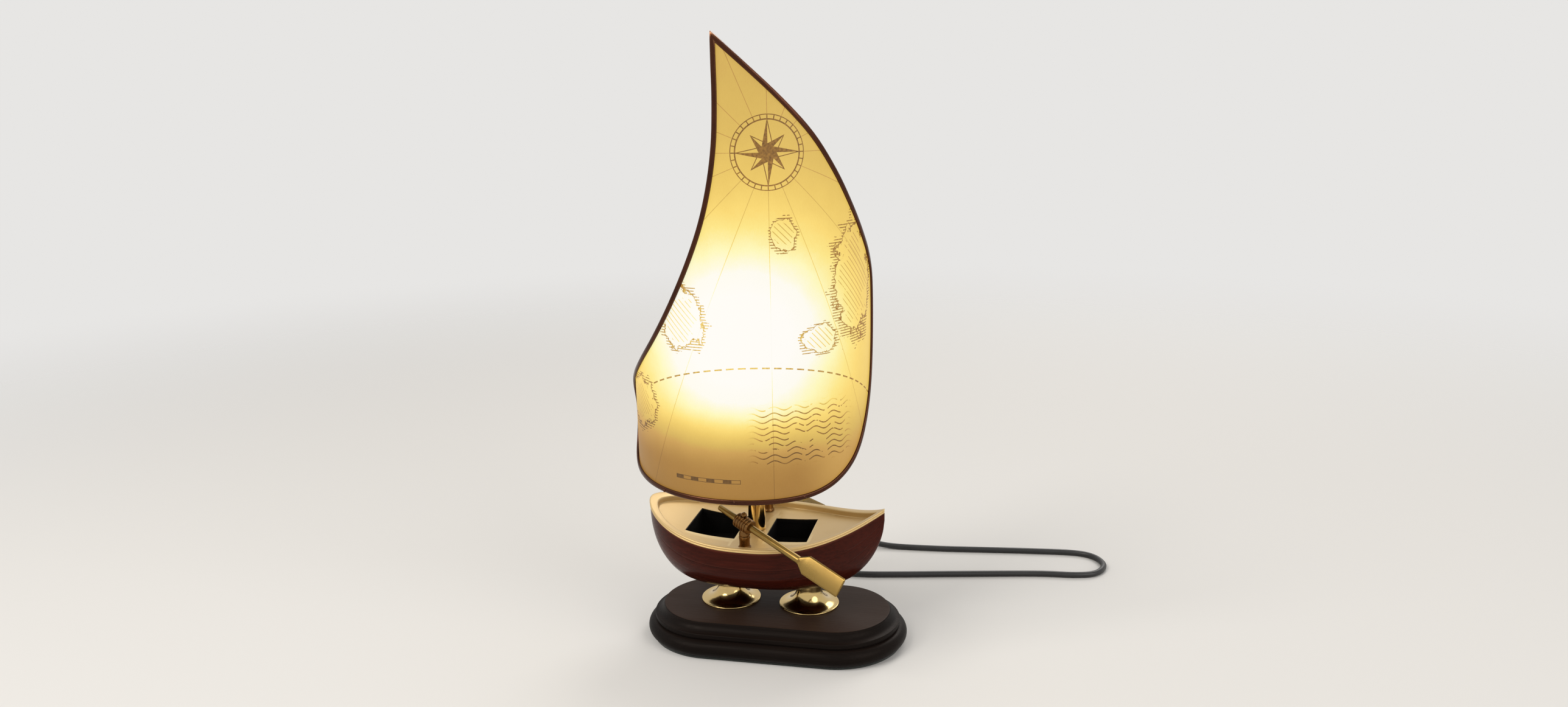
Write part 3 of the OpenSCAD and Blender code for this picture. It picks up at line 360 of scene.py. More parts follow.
def piece(name, shape, finish, stands_for=(), body="lamp", crease=35):
    """A smooth mesh in a finish, which rides on a body and stands for CAD nodes."""
    points, faces = shape
    mesh = bpy.data.meshes.new(name)
    mesh.from_pydata([[c * MM for c in p] for p in points], [], faces)
    work = bmesh.new()
    work.from_mesh(mesh)
    bmesh.ops.remove_doubles(work, verts=work.verts, dist=WELD)
    bmesh.ops.recalc_face_normals(work, faces=work.faces)
    work.to_mesh(mesh)
    work.free()
    mesh.polygons.foreach_set("use_smooth", [True] * len(mesh.polygons))
    mesh.set_sharp_from_angle(angle=math.radians(crease))
    return settled(name, mesh, finish, stands_for, body)


def settled(name, data, finish, stands_for, body="lamp"):
    """The object of a mesh or a curve, linked to the scene and set on its body."""
    data.materials.append(finish())
    thing = bpy.data.objects.new(name, data)
    bpy.context.scene.collection.objects.link(thing)
    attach(thing, body)
    if stands_for:
        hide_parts(*stands_for)
    return thing


def softened(thing, width):
    """Rounds the sharp edges of a piece."""
    bevel = thing.modifiers.new("softened", "BEVEL")
    bevel.width = width * MM
    bevel.segments = 3
    bevel.limit_method = "ANGLE"
    bevel.angle_limit = math.radians(55)
    bevel.harden_normals = True


def paint(finish, *nodes):
    """Gives CAD nodes that stay in sight a finish."""
    for name in nodes:
        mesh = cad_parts[name].data
        mesh.materials.clear()
        mesh.materials.append(finish())


# Finishes

class Term:
    """A number inside a finish, so that its formulas read as they are."""

    def __init__(self, finish, socket):
        self.finish = finish
        self.socket = socket

    def op(self, kind, *others):
        return self.finish.math(kind, self, *others)

    def __add__(self, other):
        return self.op("ADD", other)

    def __sub__(self, other):
        return self.op("SUBTRACT", other)

    def __mul__(self, other):
        return self.op("MULTIPLY", other)

    def __truediv__(self, other):
        return self.op("DIVIDE", other)

    def __neg__(self):
        return self.op("MULTIPLY", -1.0)

    def below(self, limit):
        return self.op("LESS_THAN", limit)

    def above(self, limit):
        return self.op("GREATER_THAN", limit)

    def most(self, other):
        return self.op("MAXIMUM", other)

    def folded(self, half):
        """Distance to the nearest of lines that are two halves apart."""
        return self.op("WRAP", half, -half).op("ABSOLUTE")


SOCKETS = {
    "colour": "Base Color", "glow": "Emission Color", "power": "Emission Strength",
    "shine": "Specular IOR Level",
}


class Finish:
    """A procedural material and short calls for its nodes."""

    def __init__(self, name, **sockets):
        self.material = bpy.data.materials.new(name)
        self.material.use_nodes = True
        self.tree = self.material.node_tree
        self.shader = self.tree.nodes["Principled BSDF"]
        self.place = self.node("ShaderNodeTexCoord").outputs["Object"]
        self.set(**sockets)

    def give(self, value, socket):
        if isinstance(value, Term):
            value = value.socket
        if isinstance(value, bpy.types.NodeSocket):
            self.tree.links.new(value, socket)
        elif isinstance(value, (int, float)):
            socket.default_value = value
        else:
            four = len(socket.default_value) == 4
            socket.default_value = (*value, 1) if four and len(value) == 3 else tuple(value)

    def set(self, **sockets):
        for name, value in sockets.items():
            self.give(value, self.shader.inputs[SOCKETS.get(name, name.replace("_", " "))])

    def node(self, kind, **settings):
        made = self.tree.nodes.new(kind)
        for name, value in settings.items():
            setattr(made, name, value)
        return made

    def math(self, kind, *values):
        made = self.node("ShaderNodeMath", operation=kind)
        for value, socket in zip(values, made.inputs):
            self.give(value, socket)
        return Term(self, made.outputs[0])

    def noise(self, scale, stretch=(1, 1, 1), detail=3, roughness=0.5):
        """Noise of about -1 to 1 with that many lumps to the metre."""
        spread = self.node("ShaderNodeVectorMath", operation="MULTIPLY")
        self.give(self.place, spread.inputs[0])
        spread.inputs[1].default_value = stretch
        made = self.node("ShaderNodeTexNoise")
        self.give(spread.outputs[0], made.inputs["Vector"])
        made.inputs["Scale"].default_value = scale
        made.inputs["Detail"].default_value = detail
        made.inputs["Roughness"].default_value = roughness
        return (Term(self, made.outputs[0]) - 0.5) * 2.0

    def step(self, value, low, high, start=0.0, end=1.0):
        """Goes smoothly from start to end while the value goes from low to high."""
        made = self.node("ShaderNodeMapRange", interpolation_type="SMOOTHSTEP")
        for given, name in (
            (value, "Value"), (low, "From Min"), (high, "From Max"), (start, "To Min"), (end, "To Max"),
        ):
            self.give(given, made.inputs[name])
        return Term(self, made.outputs[0])

    def mix(self, share, first, second):
        made = self.node("ShaderNodeMix", data_type="RGBA")
        self.give(share, made.inputs[0])
        self.give(first, made.inputs[6])
        self.give(second, made.inputs[7])
        return made.outputs[2]

    def ramp(self, value, stops):
        made = self.node("ShaderNodeValToRGB")
        row = made.color_ramp.elements
        row.remove(row[1])
        for place, colour in stops[1:]:
            row.new(place).color = (*colour, 1)
        row[0].position, row[0].color = stops[0][0], (*stops[0][1], 1)
        self.give(value, made.inputs[0])
        return made.outputs[0]

    def bump(self, height, depth):
        """Roughens the surface; depth is in metres."""
        made = self.node("ShaderNodeBump")
        made.inputs["Strength"].default_value = 1
        made.inputs["Distance"].default_value = depth
        self.give(height, made.inputs["Height"])
        self.give(made.outputs[0], self.shader.inputs["Normal"])
        return self

    def height(self):
        """Height of a place on the piece, in metres."""
        place = self.node("ShaderNodeSeparateXYZ")
        self.give(self.place, place.inputs[0])
        return Term(self, place.outputs[2])

    def facing_up(self):
        """How much a surface faces up, gathers dust and takes painted light from above, from 0 to 1."""
        way = self.node("ShaderNodeSeparateXYZ")
        self.give(self.node("ShaderNodeNewGeometry").outputs["Normal"], way.inputs[0])
        return self.step(way.outputs[2], 0.80, 0.99)

    def rubbed(self):
        """How much an edge stands proud and is rubbed bright, from 0 to 1."""
        point = self.node("ShaderNodeNewGeometry").outputs["Pointiness"]
        return self.step(point, 0.52, 0.58)


def shared(slot):
    """Makes a finish once and hands it out again; slot is a name kept on it."""
    def wrap(make):
        made = []

        def given():
            if not made:
                made.append(make(bpy.context.scene.boat_lamp).material)
            return made[0]

        given.slot = slot
        return given

    return wrap


@shared("dark_wood")
def dark_wood(settings):
    f = Finish("dark_wood", shine=0.06, Specular_Tint=(1.0, 0.85, 0.75))
    pores = f.noise(1.0, (35, 1100, 1100), 4)
    cloud = f.noise(28.0, (0.5, 1, 1), 2)
    share = f.step(pores * 0.6 + cloud * 0.5, -0.6, 0.7)
    wood = f.mix(share, settings.plinth.wood_dark, settings.plinth.wood_light)
    worn = f.mix(f.rubbed() * 0.25, wood, (0.040, 0.028, 0.022))
    top = f.step(f.height(), 0.0232, 0.0248, 0.12, 1.0)
    # Painted light and dust: the upward faces of the top are made paler, as if lit from above and dusted.
    f.set(colour=f.mix(f.facing_up() * top * (cloud * 0.15 + 0.62), worn, settings.plinth.dust))
    f.set(Roughness=f.step(pores + cloud, -1.0, 1.0, 0.50, 0.36))
    return f.bump(pores, 0.00004)


@shared("felt")
def felt(settings):
    f = Finish("felt", Roughness=0.95, Sheen_Weight=0.35, Sheen_Roughness=0.5)
    fibres = f.noise(2600, detail=4)
    f.set(colour=f.mix(f.step(fibres, -0.5, 0.6), (0.008, 0.011, 0.009), settings.plinth.felt))
    return f.bump(fibres, 0.0002)


def metal_finish(name, bright, dull, rough, cloudy=0.5, grain=1.0):
    f = Finish(name, Metallic=1.0)
    cloud = f.noise(55, detail=4)
    fine = f.noise(900, (1, 1, 0.08), 3) * grain
    tarnish = f.step(cloud * cloudy + fine * 0.12, -0.1, 0.9)
    f.set(colour=f.mix(tarnish, bright, dull))
    f.set(Roughness=f.step(cloud * 0.5 + fine * 0.5, -0.7, 0.7, rough * 0.75, rough * 1.5))
    return f.bump(fine, 0.000012)


def metal(name, bright, dull, rough, cloudy=0.5, grain=1.0, slot=None):
    """A metal in two of the metal colours."""
    def make(settings):
        colours = (getattr(settings.metal, colour) for colour in (bright, dull))
        return metal_finish(name, *colours, rough, cloudy, grain)

    return shared(slot or name)(make)


polished_brass = metal("polished_brass", "brass", "brass_dull", 0.13)
cast_brass = metal("cast_brass", "brass_cast", "brass_dark", 0.27, 0.6, 0.3, "polished_brass")
aged_brass = metal("aged_brass", "brass_aged", "brass_dark", 0.24, 0.8, 0.5, "polished_brass")
steel = metal("steel", "steel", "steel_dull", 0.22)
bulb_metal = metal("bulb_metal", "cap", "cap_dull", 0.3, 0.7)


@shared("thread_brass")
def thread_brass(settings):
    f = metal_finish("thread_brass", settings.metal.brass_dull, settings.metal.brass, 0.3)
    return f.bump((f.height() * (TURN / MM)).op("SINE"), 0.0003)


@shared("lacquered_wood")
def lacquered_wood(settings):
    f = Finish("lacquered_wood", shine=0.10, Specular_Tint=(1.0, 0.55, 0.45))
    f.set(Coat_Weight=0.07, Coat_Roughness=0.05)
    grain = f.noise(1.0, (22, 420, 620), 5, 0.6)
    cloud = f.noise(18, (0.4, 1, 1.6), 2)
    share = f.step(grain * 0.55 + cloud * 0.6, -0.55, 0.65)
    wood = f.mix(share, settings.boat.hull_dark, settings.boat.hull_light)
    f.set(colour=f.mix(f.rubbed() * 0.5, wood, (0.15, 0.036, 0.020)))
    f.set(Roughness=f.step(grain, -0.8, 0.8, 0.34, 0.24))
    return f.bump(grain * 0.7 + cloud * 0.3, 0.00005)


@shared("gold_paint")
def gold_paint(settings):
    f = Finish("gold_paint", Metallic=0.50, Coat_Weight=0.08, Coat_Roughness=0.2)
    cloud = f.noise(42, (0.7, 1, 1), 4)
    flake = f.noise(1500, detail=2)
    worn = f.step(cloud + flake * 0.25, 0.05, 1.0)
    gold = f.mix(worn, settings.boat.gold, settings.boat.gold_worn)
    f.set(colour=f.mix(f.rubbed() * 0.5, gold, (0.86, 0.69, 0.36)))
    f.set(Roughness=f.step(cloud * 0.7 + flake * 0.3, -0.8, 0.8, 0.32, 0.46))
    return f.bump(flake * 0.4 + cloud * 0.6, 0.00006)


@shared("black_paint")
def black_paint(settings):
    f = Finish("black_paint", shine=0.15)
    speck = f.noise(1400)
    dust = f.noise(90, detail=4)
    f.set(colour=f.mix(f.step(dust + speck * 0.3, 0.0, 1.0), settings.boat.well, (0.010, 0.0085, 0.0075)))
    f.set(Roughness=f.step(dust, -0.8, 0.8, 0.42, 0.62))
    return f.bump(speck, 0.00006)


@shared("bronze_trim")
def bronze_trim(settings):
    f = Finish("bronze_trim", Metallic=0.95, Coat_Weight=0.08, Coat_Roughness=0.15)
    cloud = f.noise(60)
    fine = f.noise(1100)
    bronze = f.mix(f.step(cloud + fine * 0.3, -0.4, 1.0), settings.sail.bronze, (0.030, 0.010, 0.006))
    f.set(colour=f.mix(f.rubbed() * 0.6, bronze, (0.30, 0.14, 0.065)))
    f.set(Roughness=f.step(cloud, -0.8, 0.8, 0.22, 0.34))
    return f.bump(fine, 0.00003)


def moulded(name, colour, rough):
    """A plastic or rubber in one of the lead's colours."""
    def make(settings):
        plain = getattr(settings.lead, colour)
        f = Finish(name)
        fine = f.noise(1900, detail=2)
        dust = f.noise(70, detail=4)
        pale = tuple(c * 1.7 + 0.004 for c in plain)
        f.set(colour=f.mix(f.step(dust + fine * 0.2, -0.1, 1.1), plain, pale))
        f.set(Roughness=f.step(dust, -0.8, 0.8, rough - 0.07, rough + 0.09))
        return f.bump(fine, 0.00005)

    return shared(name)(make)


black_plastic = moulded("black_plastic", "black", 0.42)
black_lead = moulded("black_lead", "black", 0.36)
lead_core = moulded("lead_core", "core", 0.45)


@shared("porcelain")
def porcelain(settings):
    f = Finish("porcelain", Coat_Weight=0.6, Coat_Roughness=0.08)
    cloud = f.noise(150)
    f.set(colour=f.mix(f.step(cloud, -0.7, 0.8), (0.74, 0.73, 0.69), (0.62, 0.60, 0.55)))
    f.set(Roughness=f.step(cloud, -0.8, 0.8, 0.28, 0.4))
    return f.bump(cloud, 0.00003)


@shared("opal_glass")
def opal_glass(settings):
    f = Finish("opal_glass", Roughness=0.16, Coat_Weight=0.5, Coat_Roughness=0.05)
    cloud = f.noise(60, detail=2)
    f.set(colour=f.mix(f.step(cloud, -0.6, 0.6), (0.50, 0.46, 0.38), (0.44, 0.40, 0.32)))
    f.set(glow=settings.bulb.light, power=f.step(cloud, -0.8, 0.8, 0.56, 0.64))
    return f.bump(cloud, 0.00002)


# Tones of the lit sheet, from the shaded foot to the white of the glow
SAIL_TONES = [
    (0.00, (0.020, 0.008, 0.002)), (0.10, (0.150, 0.064, 0.012)), (0.18, (0.340, 0.160, 0.028)),
    (0.28, (0.560, 0.315, 0.075)), (0.33, (0.650, 0.430, 0.092)), (0.42, (0.830, 0.575, 0.125)),
    (0.49, (0.960, 0.700, 0.170)), (0.55, (0.985, 0.810, 0.250)), (0.65, (0.990, 0.960, 0.520)),
    (0.80, (0.990, 0.990, 0.930)), (1.00, (1.000, 1.000, 0.985)),
]


def chart_ink(f, u, v):
    """A plain sea-chart design: rose, sailing lines, islands, a route, waves and a bar."""
    du, dv = u - 33.0, v - 371.0
    far = (du * du + dv * dv).op("SQRT")
    turn = dv.op("ARCTAN2", du)
    ink = far.op("COMPARE", 21.0, 0.45).most(far.op("COMPARE", 24.0, 0.3))
    ticks = (turn.folded(TURN / 64) * far).below(0.35) * far.op("COMPARE", 22.5, 1.5)
    ink = ink.most(ticks)
    for tip, inner, shift in ((15.0, 5.5, TURN / 8), (20.5, 5.0, 0.0)):
        side = (turn + shift).op("WRAP", TURN / 8, -TURN / 8)
        bent = side.op("ABSOLUTE")
        slope = inner * math.sin(TURN / 8) / (tip - inner * math.cos(TURN / 8))
        edge = (-(far * bent.op("COSINE")) + tip) * slope - far * bent.op("SINE")
        ink = ink.most(edge.above(0.0) * side.above(0.0)).most(edge.op("COMPARE", 0.0, 0.3))
    lines = (turn.folded(TURN / 32) * far).below(0.22) * far.above(24.5) * 0.42
    rough = f.noise(90.0, detail=5, roughness=0.62)
    land = None
    for east, north, reach, squeeze in (
        (104.0, 283.0, 23.0, 0.62), (68.0, 246.0, 13.0, 1.3), (-82.0, 196.0, 22.0, 1.25),
        (42.0, 318.0, 9.0, 0.9), (-30.0, 262.0, 16.0, 0.8),
    ):
        x, y = u - east, (v - north) * squeeze
        bank = (x * x + y * y).op("SQRT") / reach + rough * 0.75
        land = bank if land is None else land.op("MINIMUM", bank)
    coast = land.op("COMPARE", 1.0, 0.035)
    hatch = v.folded(0.95).below(0.32) * land.above(1.0) * land.below(1.22)
    inland = (u * 0.7 + v * 0.7).folded(1.5).below(0.28) * land.below(0.72) * 0.6
    rx, ry = u - 20.0, v - 40.0
    ray = (rx * rx + ry * ry).op("SQRT")
    dash = (ry.op("ARCTAN2", rx) * 190.0).op("WRAP", 4.0, -4.0).above(-1.2)
    route = ray.op("COMPARE", 190.0, 0.5) * dash * land.above(1.0)
    swell = (v - (u * 0.42).op("SINE") * 1.3).folded(2.1).below(0.42)
    patch = f.step(u, 14.0, 30.0) * f.step(u, 84.0, 100.0, 1.0, 0.0)
    patch = patch * f.step(v, 160.0, 165.0) * f.step(v, 196.0, 206.0, 1.0, 0.0)
    broken = f.noise(120.0).above(-0.12)
    waves = swell * patch * broken
    bar_u, bar_v, block, rim = -14.0, 150.5, 6.0, 0.4
    bar = v.op("COMPARE", bar_v, 1.1) * u.op("COMPARE", bar_u, 4 * block)
    blocks = (u - bar_u).op("WRAP", block, -block).above(0.0)
    bar_edge = v.op("COMPARE", bar_v, 1.1 + rim) * u.op("COMPARE", bar_u, 4 * block + rim) - bar
    for more in (coast, hatch, inland, route, waves, bar * blocks, bar_edge, lines):
        ink = ink.most(more)
    return ink


@shared("parchment")
def parchment(settings):
    sail = settings.sail
    f = Finish("parchment", Roughness=0.48, shine=0.3)
    place = f.node("ShaderNodeSeparateXYZ")
    f.give(f.node("ShaderNodeUVMap", uv_map="sheet").outputs[0], place.inputs[0])
    u, v = (Term(f, place.outputs[k]) * 1000.0 for k in (0, 1))
    across = (u - sail.glow_turn * sail.radius / MM) * 0.88
    above = v - sail.glow_height / MM
    away = (across * across + above * above).op("SQRT")
    light = (away / -42.0).op("EXPONENT") * 2.9 + 0.60
    shade = f.step(u, 45.0, 90.0, 0.43, 0.68)
    light = light * f.step(v, 156.0, 208.0, shade, 1.0)
    mottle = f.noise(70, detail=4) * 0.05 + f.noise(1500, (1, 1, 0.3), 3) * 0.035
    ink = chart_ink(f, u, v) * (f.noise(650, detail=4) * 0.28 + 0.62)
    light = light * (mottle + 1.0) * (-ink + 1.0)
    f.set(glow=f.ramp(light * 0.5, SAIL_TONES), power=0.90)
    f.set(colour=f.mix(ink, (0.085, 0.058, 0.020), (0.020, 0.012, 0.006)))
    return f.bump(mottle, 0.0004)


# Hull lines, in millimetres

class HullLines:
    """The boat's lines, as heights and half beams along it."""

    stations = 84
    rail_tall, rail_gap, rail_over, rail_lap = 3.0, 0.3, 0.6, 1.4
    deck_drop, deck_thick, deck_gap = 4.5, 2.5, 0.6
    tip, end_wall = 1.2, 1.5
    # Powers that shape the ends in plan, then those of the sheer and the keel
    stern, bow = (2.5, 0.6), (2, 1.15)
    sheer_power, keel_power, keel_plumb, keel_over = 2.8, 5, 0.72, 1.06
    bilge = 2 / 2.3

    def __init__(self, boat):
        self.middle, self.centre = boat.middle / MM, boat.centre / MM
        self.half, self.beam = boat.length / MM / 2, boat.beam / MM / 2
        self.keel, self.rail = boat.keel / MM, boat.rail / MM
        self.sheer, self.keel_rise = boat.sheer / MM, boat.keel_rise / MM
        self.wall, self.lap, self.planks = boat.wall / MM, boat.lap / MM, boat.planks

    def station(self, i):
        """Place along the boat from -1 to 1, closer together at its ends."""
        return math.sin(math.pi / 2 * (2 * i / self.stations - 1))

    def plan(self, t):
        """Share of the beam along the boat, with a round stern and a fine bow."""
        power, root = self.stern if t < 0 else self.bow
        return max(1 - abs(t) ** power, 0) ** root

    def half_beam(self, t, inset, tip):
        return tip + (self.beam - inset - tip) * self.plan(t)

    def along(self, t, inset):
        return self.middle + t * (self.half - inset)

    def share(self, x):
        return abs(x - self.middle) / self.half

    def sheer_at(self, x):
        return self.sheer * self.share(x) ** self.sheer_power

    def deck_at(self, x):
        return self.rail - self.deck_drop + self.sheer_at(x)

    def keel_at(self, x):
        """Height of the keel, which curves up to stand plumb at both ends."""
        flat = (1 - min(self.share(x), 1) ** self.keel_power) ** self.keel_plumb
        return self.keel + self.keel_rise * self.keel_over * (1 - flat)

    def section(self, t, inset, end_inset, tip, lift, edges):
        """One section from the near rail by the keel to the far rail."""
        x = self.along(t, end_inset)
        low = self.keel_at(x) + lift
        high = self.rail - self.rail_tall - self.rail_gap + self.sheer_at(x)
        wide = self.half_beam(t, inset, tip)
        fade = self.plan(t)
        rows = []
        for a, out in edges:
            a = math.radians(a)
            over = math.sin(a) ** self.bilge
            up = 1 - max(math.cos(a), 0) ** self.bilge
            out_y = out * max(fade, 0.1) * math.sin(a)
            drop = out * (fade * math.cos(a) - 0.1 * (1 - fade))
            rows.append((wide * over + out_y, low + (high - low) * up - drop))
        near = [(x, self.centre - y, z) for y, z in rows[:0:-1]]
        return near + [(x, self.centre + y, z) for y, z in rows]

    def plank_edges(self):
        """Angle and step out over the planks, with each plank's lower edge rounded."""
        each = 90 / self.planks
        edges = [(0, 0)]
        for k in range(self.planks):
            low = each * k
            if k:
                steps = ((-0.3, -0.30), (0, -0.30), (0, 0.62), (0.25, 0.90))
                edges += [(low + more, out * self.lap) for more, out in steps]
            for part in (0.07, 0.16, 0.36, 0.58, 0.80, 0.92):
                edges.append((low + each * part, (1 - part) * self.lap if k else 0.0))
        return edges + [(90, 0)]


# Operators

class MakeOperator(bpy.types.Operator):
    """Shared ground of the operators below"""

    bl_options = {"REGISTER"}

    def execute(self, context):
        self.make(context.scene.boat_lamp)
        return {"FINISHED"}


class BOATLAMP_OT_camera(MakeOperator):
    """Sets the camera at the viewing angle"""

    bl_idname = "boat_lamp.camera"
    bl_label = "Camera"

    def make(self, settings):
        view = settings.camera
        right = Vector((math.cos(view.turn), math.sin(view.turn), 0))
        ahead = Vector((
            -math.sin(view.turn) * math.cos(view.tilt),
            math.cos(view.turn) * math.cos(view.tilt),
            -math.sin(view.tilt),
        ))
        up = right.cross(ahead)
        across = right * math.cos(view.roll) - up * math.sin(view.roll)
        upward = right * math.sin(view.roll) + up * math.cos(view.roll)
        data = bpy.data.cameras.new("camera")
        data.sensor_width = SENSOR_WIDTH
        data.lens = view.focal / PHOTO_WIDTH * SENSOR_WIDTH
        data.clip_start, data.clip_end = 0.01, 50
        camera = bpy.data.objects.new("camera", data)
        camera.matrix_world = Matrix((across, upward, -ahead)).transposed().to_4x4()
        camera.location = view.place
        bpy.context.scene.collection.objects.link(camera)
        bpy.context.scene.camera = camera


class BOATLAMP_OT_leads(MakeOperator):
    """Lays the mains lead, its coil, the switch and the plug"""

    bl_idname = "boat_lamp.leads"
    bl_label = "Lead, switch and plug"

    def make(self, settings):
        lead = settings.lead
        start, tail, end = (curve(route, ROUTE_STEPS) for route in (RUN_ROUTE, TAIL_ROUTE, END_ROUTE))
        loose = tail[:-1] + self.coil() + end[1:]
        run = self.laid("lead_to_switch", start, lead.diameter, ("cord_run",))
        rest = self.laid("lead_to_plug", loose, lead.diameter, ("cord_tail", "cord_coil", "cord_end"))
        switch, plug, tie = self.switch(), self.plug(), self.tie()
        self.bush()

    def coil(self):
        """Turns in, half a turn that climbs, and turns out again on top."""
        total = 2 * COIL_TURNS + 0.5
        count = int(total * COIL_POINTS)
        points = []
        for i in range(count + 1):
            s = total * i / count
            r = COIL_RADIUS - COIL_STEP * min(s, total - s)
            climb = min(max((s - COIL_TURNS) * 2, 0), 1)
            a = -TURN * (0.25 + s)
            place = r * math.cos(a), r * math.sin(a), COIL_LOW + COIL_STEP * climb
            points.append(COIL_MIDDLE + Vector(place))
        return points

    def laid(self, name, route, diameter, stands_for):
        """A round lead along a route of points, in metres."""
        data = bpy.data.curves.new(name, "CURVE")
        data.dimensions = "3D"
        data.bevel_depth = diameter / 2
        data.bevel_resolution = 5
        data.use_fill_caps = True
        line = data.splines.new("POLY")
        line.points.add(len(route) - 1)
        for point, place in zip(line.points, route):
            point.co = (*(RELIEF_TIP + place), 1)
        return settled(name, data, black_lead, stands_for)

    def relief(self):
        """A tapered strain relief with ribs, from its wide end along Z."""
        start, end, length, ribs = 4.5, 3.2, 25, 6
        pitch = length / (ribs + 1)
        rib = ((0, 0), (0.05, 0.52), (-0.25, 0.60), (-0.75, 0.66), (-0.75, 0.90), (-0.3, 0.95))
        rows = [(0, 0), (start - 0.3, 0), (start, 0.3)]
        for k in range(ribs):
            low = pitch * (k + 0.25)
            wide = start + (end - start) * (low / length)
            rows += [(wide + out, low + pitch * up) for out, up in rib]
        return lathe(rows + [(end, length - 0.6), (end - 0.3, length), (0, length)], 40)

    def bush(self):
        """The strain relief at the plinth, on the bush that holds it there."""
        rows = [(0, -20), (4.0, -20), (4.0, -0.02), (5.0, 0), (5.4, 0.4), (5.4, 1.5), (4.9, 2), (0, 2)]
        shape = joined(lathe(rows, 40), moved(self.relief(), upright(0, 0, 2)))
        place = toward(*BUSH_PLACE, (0, 1, 0))
        piece("lead_bush", moved(shape, place), black_plastic, ("lead_gland",))

    def stack(self, rows, steps=8):
        """A body over round-cornered outlines of (length, width, corner, height)."""
        return skin([[(x, y, z) for x, y in oblong(l, w, r, steps)] for l, w, r, z in rows])

    def switch(self):
        place = upright(*SWITCH_PLACE, 0)
        lower = self.stack([
            (56.4, 22.4, 3.6, 0), (58.6, 24.6, 4.4, 0.4), (60, 26, 5, 1.8), (60, 26, 5, 6.6),
            (59.6, 25.6, 4.8, 6.85),
        ])
        upper = self.stack([
            (59.6, 25.6, 4.8, 7.1), (60, 26, 5, 7.35), (60, 26, 5, 14.2), (59.5, 25.5, 4.8, 16.0),
            (58.2, 24.2, 4.2, 17.3), (56.2, 22.2, 3.4, 17.9), (54.0, 20.0, 3.0, 18.0),
            (22.0, 15.6, 2.4, 18.0), (21.4, 15.0, 2.2, 17.6), (19.0, 12.8, 1.4, 17.6),
            (17.6, 11.6, 0.9, 17.3), (17.4, 11.4, 0.8, 16.6), (17.2, 11.2, 0.8, 10.5),
        ])
        made = [
            piece("switch_case_lower", moved(lower, place), black_plastic, ("switch_bottom",)),
            piece("switch_case_upper", moved(upper, place), black_plastic, ("switch_top",)),
        ]
        side = eased([
            (-7.6, 1.0, 0.3), (-7.6, 4.2, 0.8), (-4.0, 4.75, 2.0), (0, 5.15, 3.0), (4.0, 4.75, 2.0),
            (7.6, 4.2, 0.8), (7.6, 1.0, 0.3), (2.0, -2.5, 0.3), (-2.0, -2.5, 0.3),
        ], 5, True)
        widths = [(-5.2, 0.93), (-4.9, 0.985), (-4.4, 1.0), (4.4, 1.0), (4.9, 0.985), (5.2, 0.93)]
        key = skin([[(x * k, y, z * k) for x, z in side] for y, k in widths])
        ribs = [
            skin([[(x + dx, y, 4.15 + dz) for dx, dz in ((-0.3, 0), (0.3, 0), (0.2, 0.75), (-0.2, 0.75))]
                  for y in (-3.6, 3.6)])
            for x in (5.0, 6.0)
        ]
        pivot, rest_tilt = 13, math.radians(8)
        place = upright(*SWITCH_PLACE, pivot) @ Matrix.Rotation(-rest_tilt, 4, "Y")
        turned = moved(joined(key, *ribs), place)
        made.append(piece("switch_key", turned, black_plastic, ("switch_rocker",), "rocker"))
        return [*made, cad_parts["switch_screws"]]

    def plug(self):
        body = self.stack([
            (19.0, 11.0, 4.6, 0), (22.4, 13.4, 5.4, 0.9), (24.4, 15.0, 6.0, 2.6), (24.8, 15.4, 6.2, 7),
            (23.6, 14.6, 6.0, 13), (23.6, 14.6, 6.0, 19), (25.2, 15.6, 6.2, 25), (26, 16, 6.4, 28.5),
            (26, 16, 6.4, 32.6), (25.2, 15.2, 6.0, 33.7), (23.6, 13.6, 5.4, PLUG_LONG),
        ])
        grip = self.stack([(20.5, 0.9, 0.4, 0), (20.5, 0.9, 0.4, 0.7)], 3)
        lay = Matrix(((0, 0, 1, 0), (1, 0, 0, 0), (0, 1, 0, 0), (0, 0, 0, 1)))
        parts, squeeze, face = [body], 0.62, 7.05
        for along in (13, 16, 19):
            for side in (-1, 1):
                flat = Matrix((
                    (0, 1, 0, along), (squeeze, 0, 0, 0), (0, 0, side, side * face), (0, 0, 0, 1),
                ))
                parts.append(moved(grip, lay.inverted() @ flat))
        moulding = moved(joined(*parts), upright(*PLUG_BACK) @ lay)
        sleeve = moved(self.relief(), toward(*PLUG_BACK, (-1, 0, 0)))
        pin = lathe([(0, -8), (2.0, -8), (2.0, 17.2), (1.85, 18.0), (1.4, 18.7), (0.7, 19), (0, 19)], 28)
        x, y, z = PLUG_BACK
        pins = [
            moved(pin, toward(x + PLUG_LONG, y + side * HALF_PIN_GAP, z, (1, 0, 0))) for side in (-1, 1)
        ]
        return [
            piece("plug_moulding", moulding, black_plastic, ("plug_body",)),
            piece("plug_sleeve", sleeve, black_plastic, ("plug_relief",)),
            piece("plug_prongs", joined(*pins), steel, ("plug_pins",)),
        ]

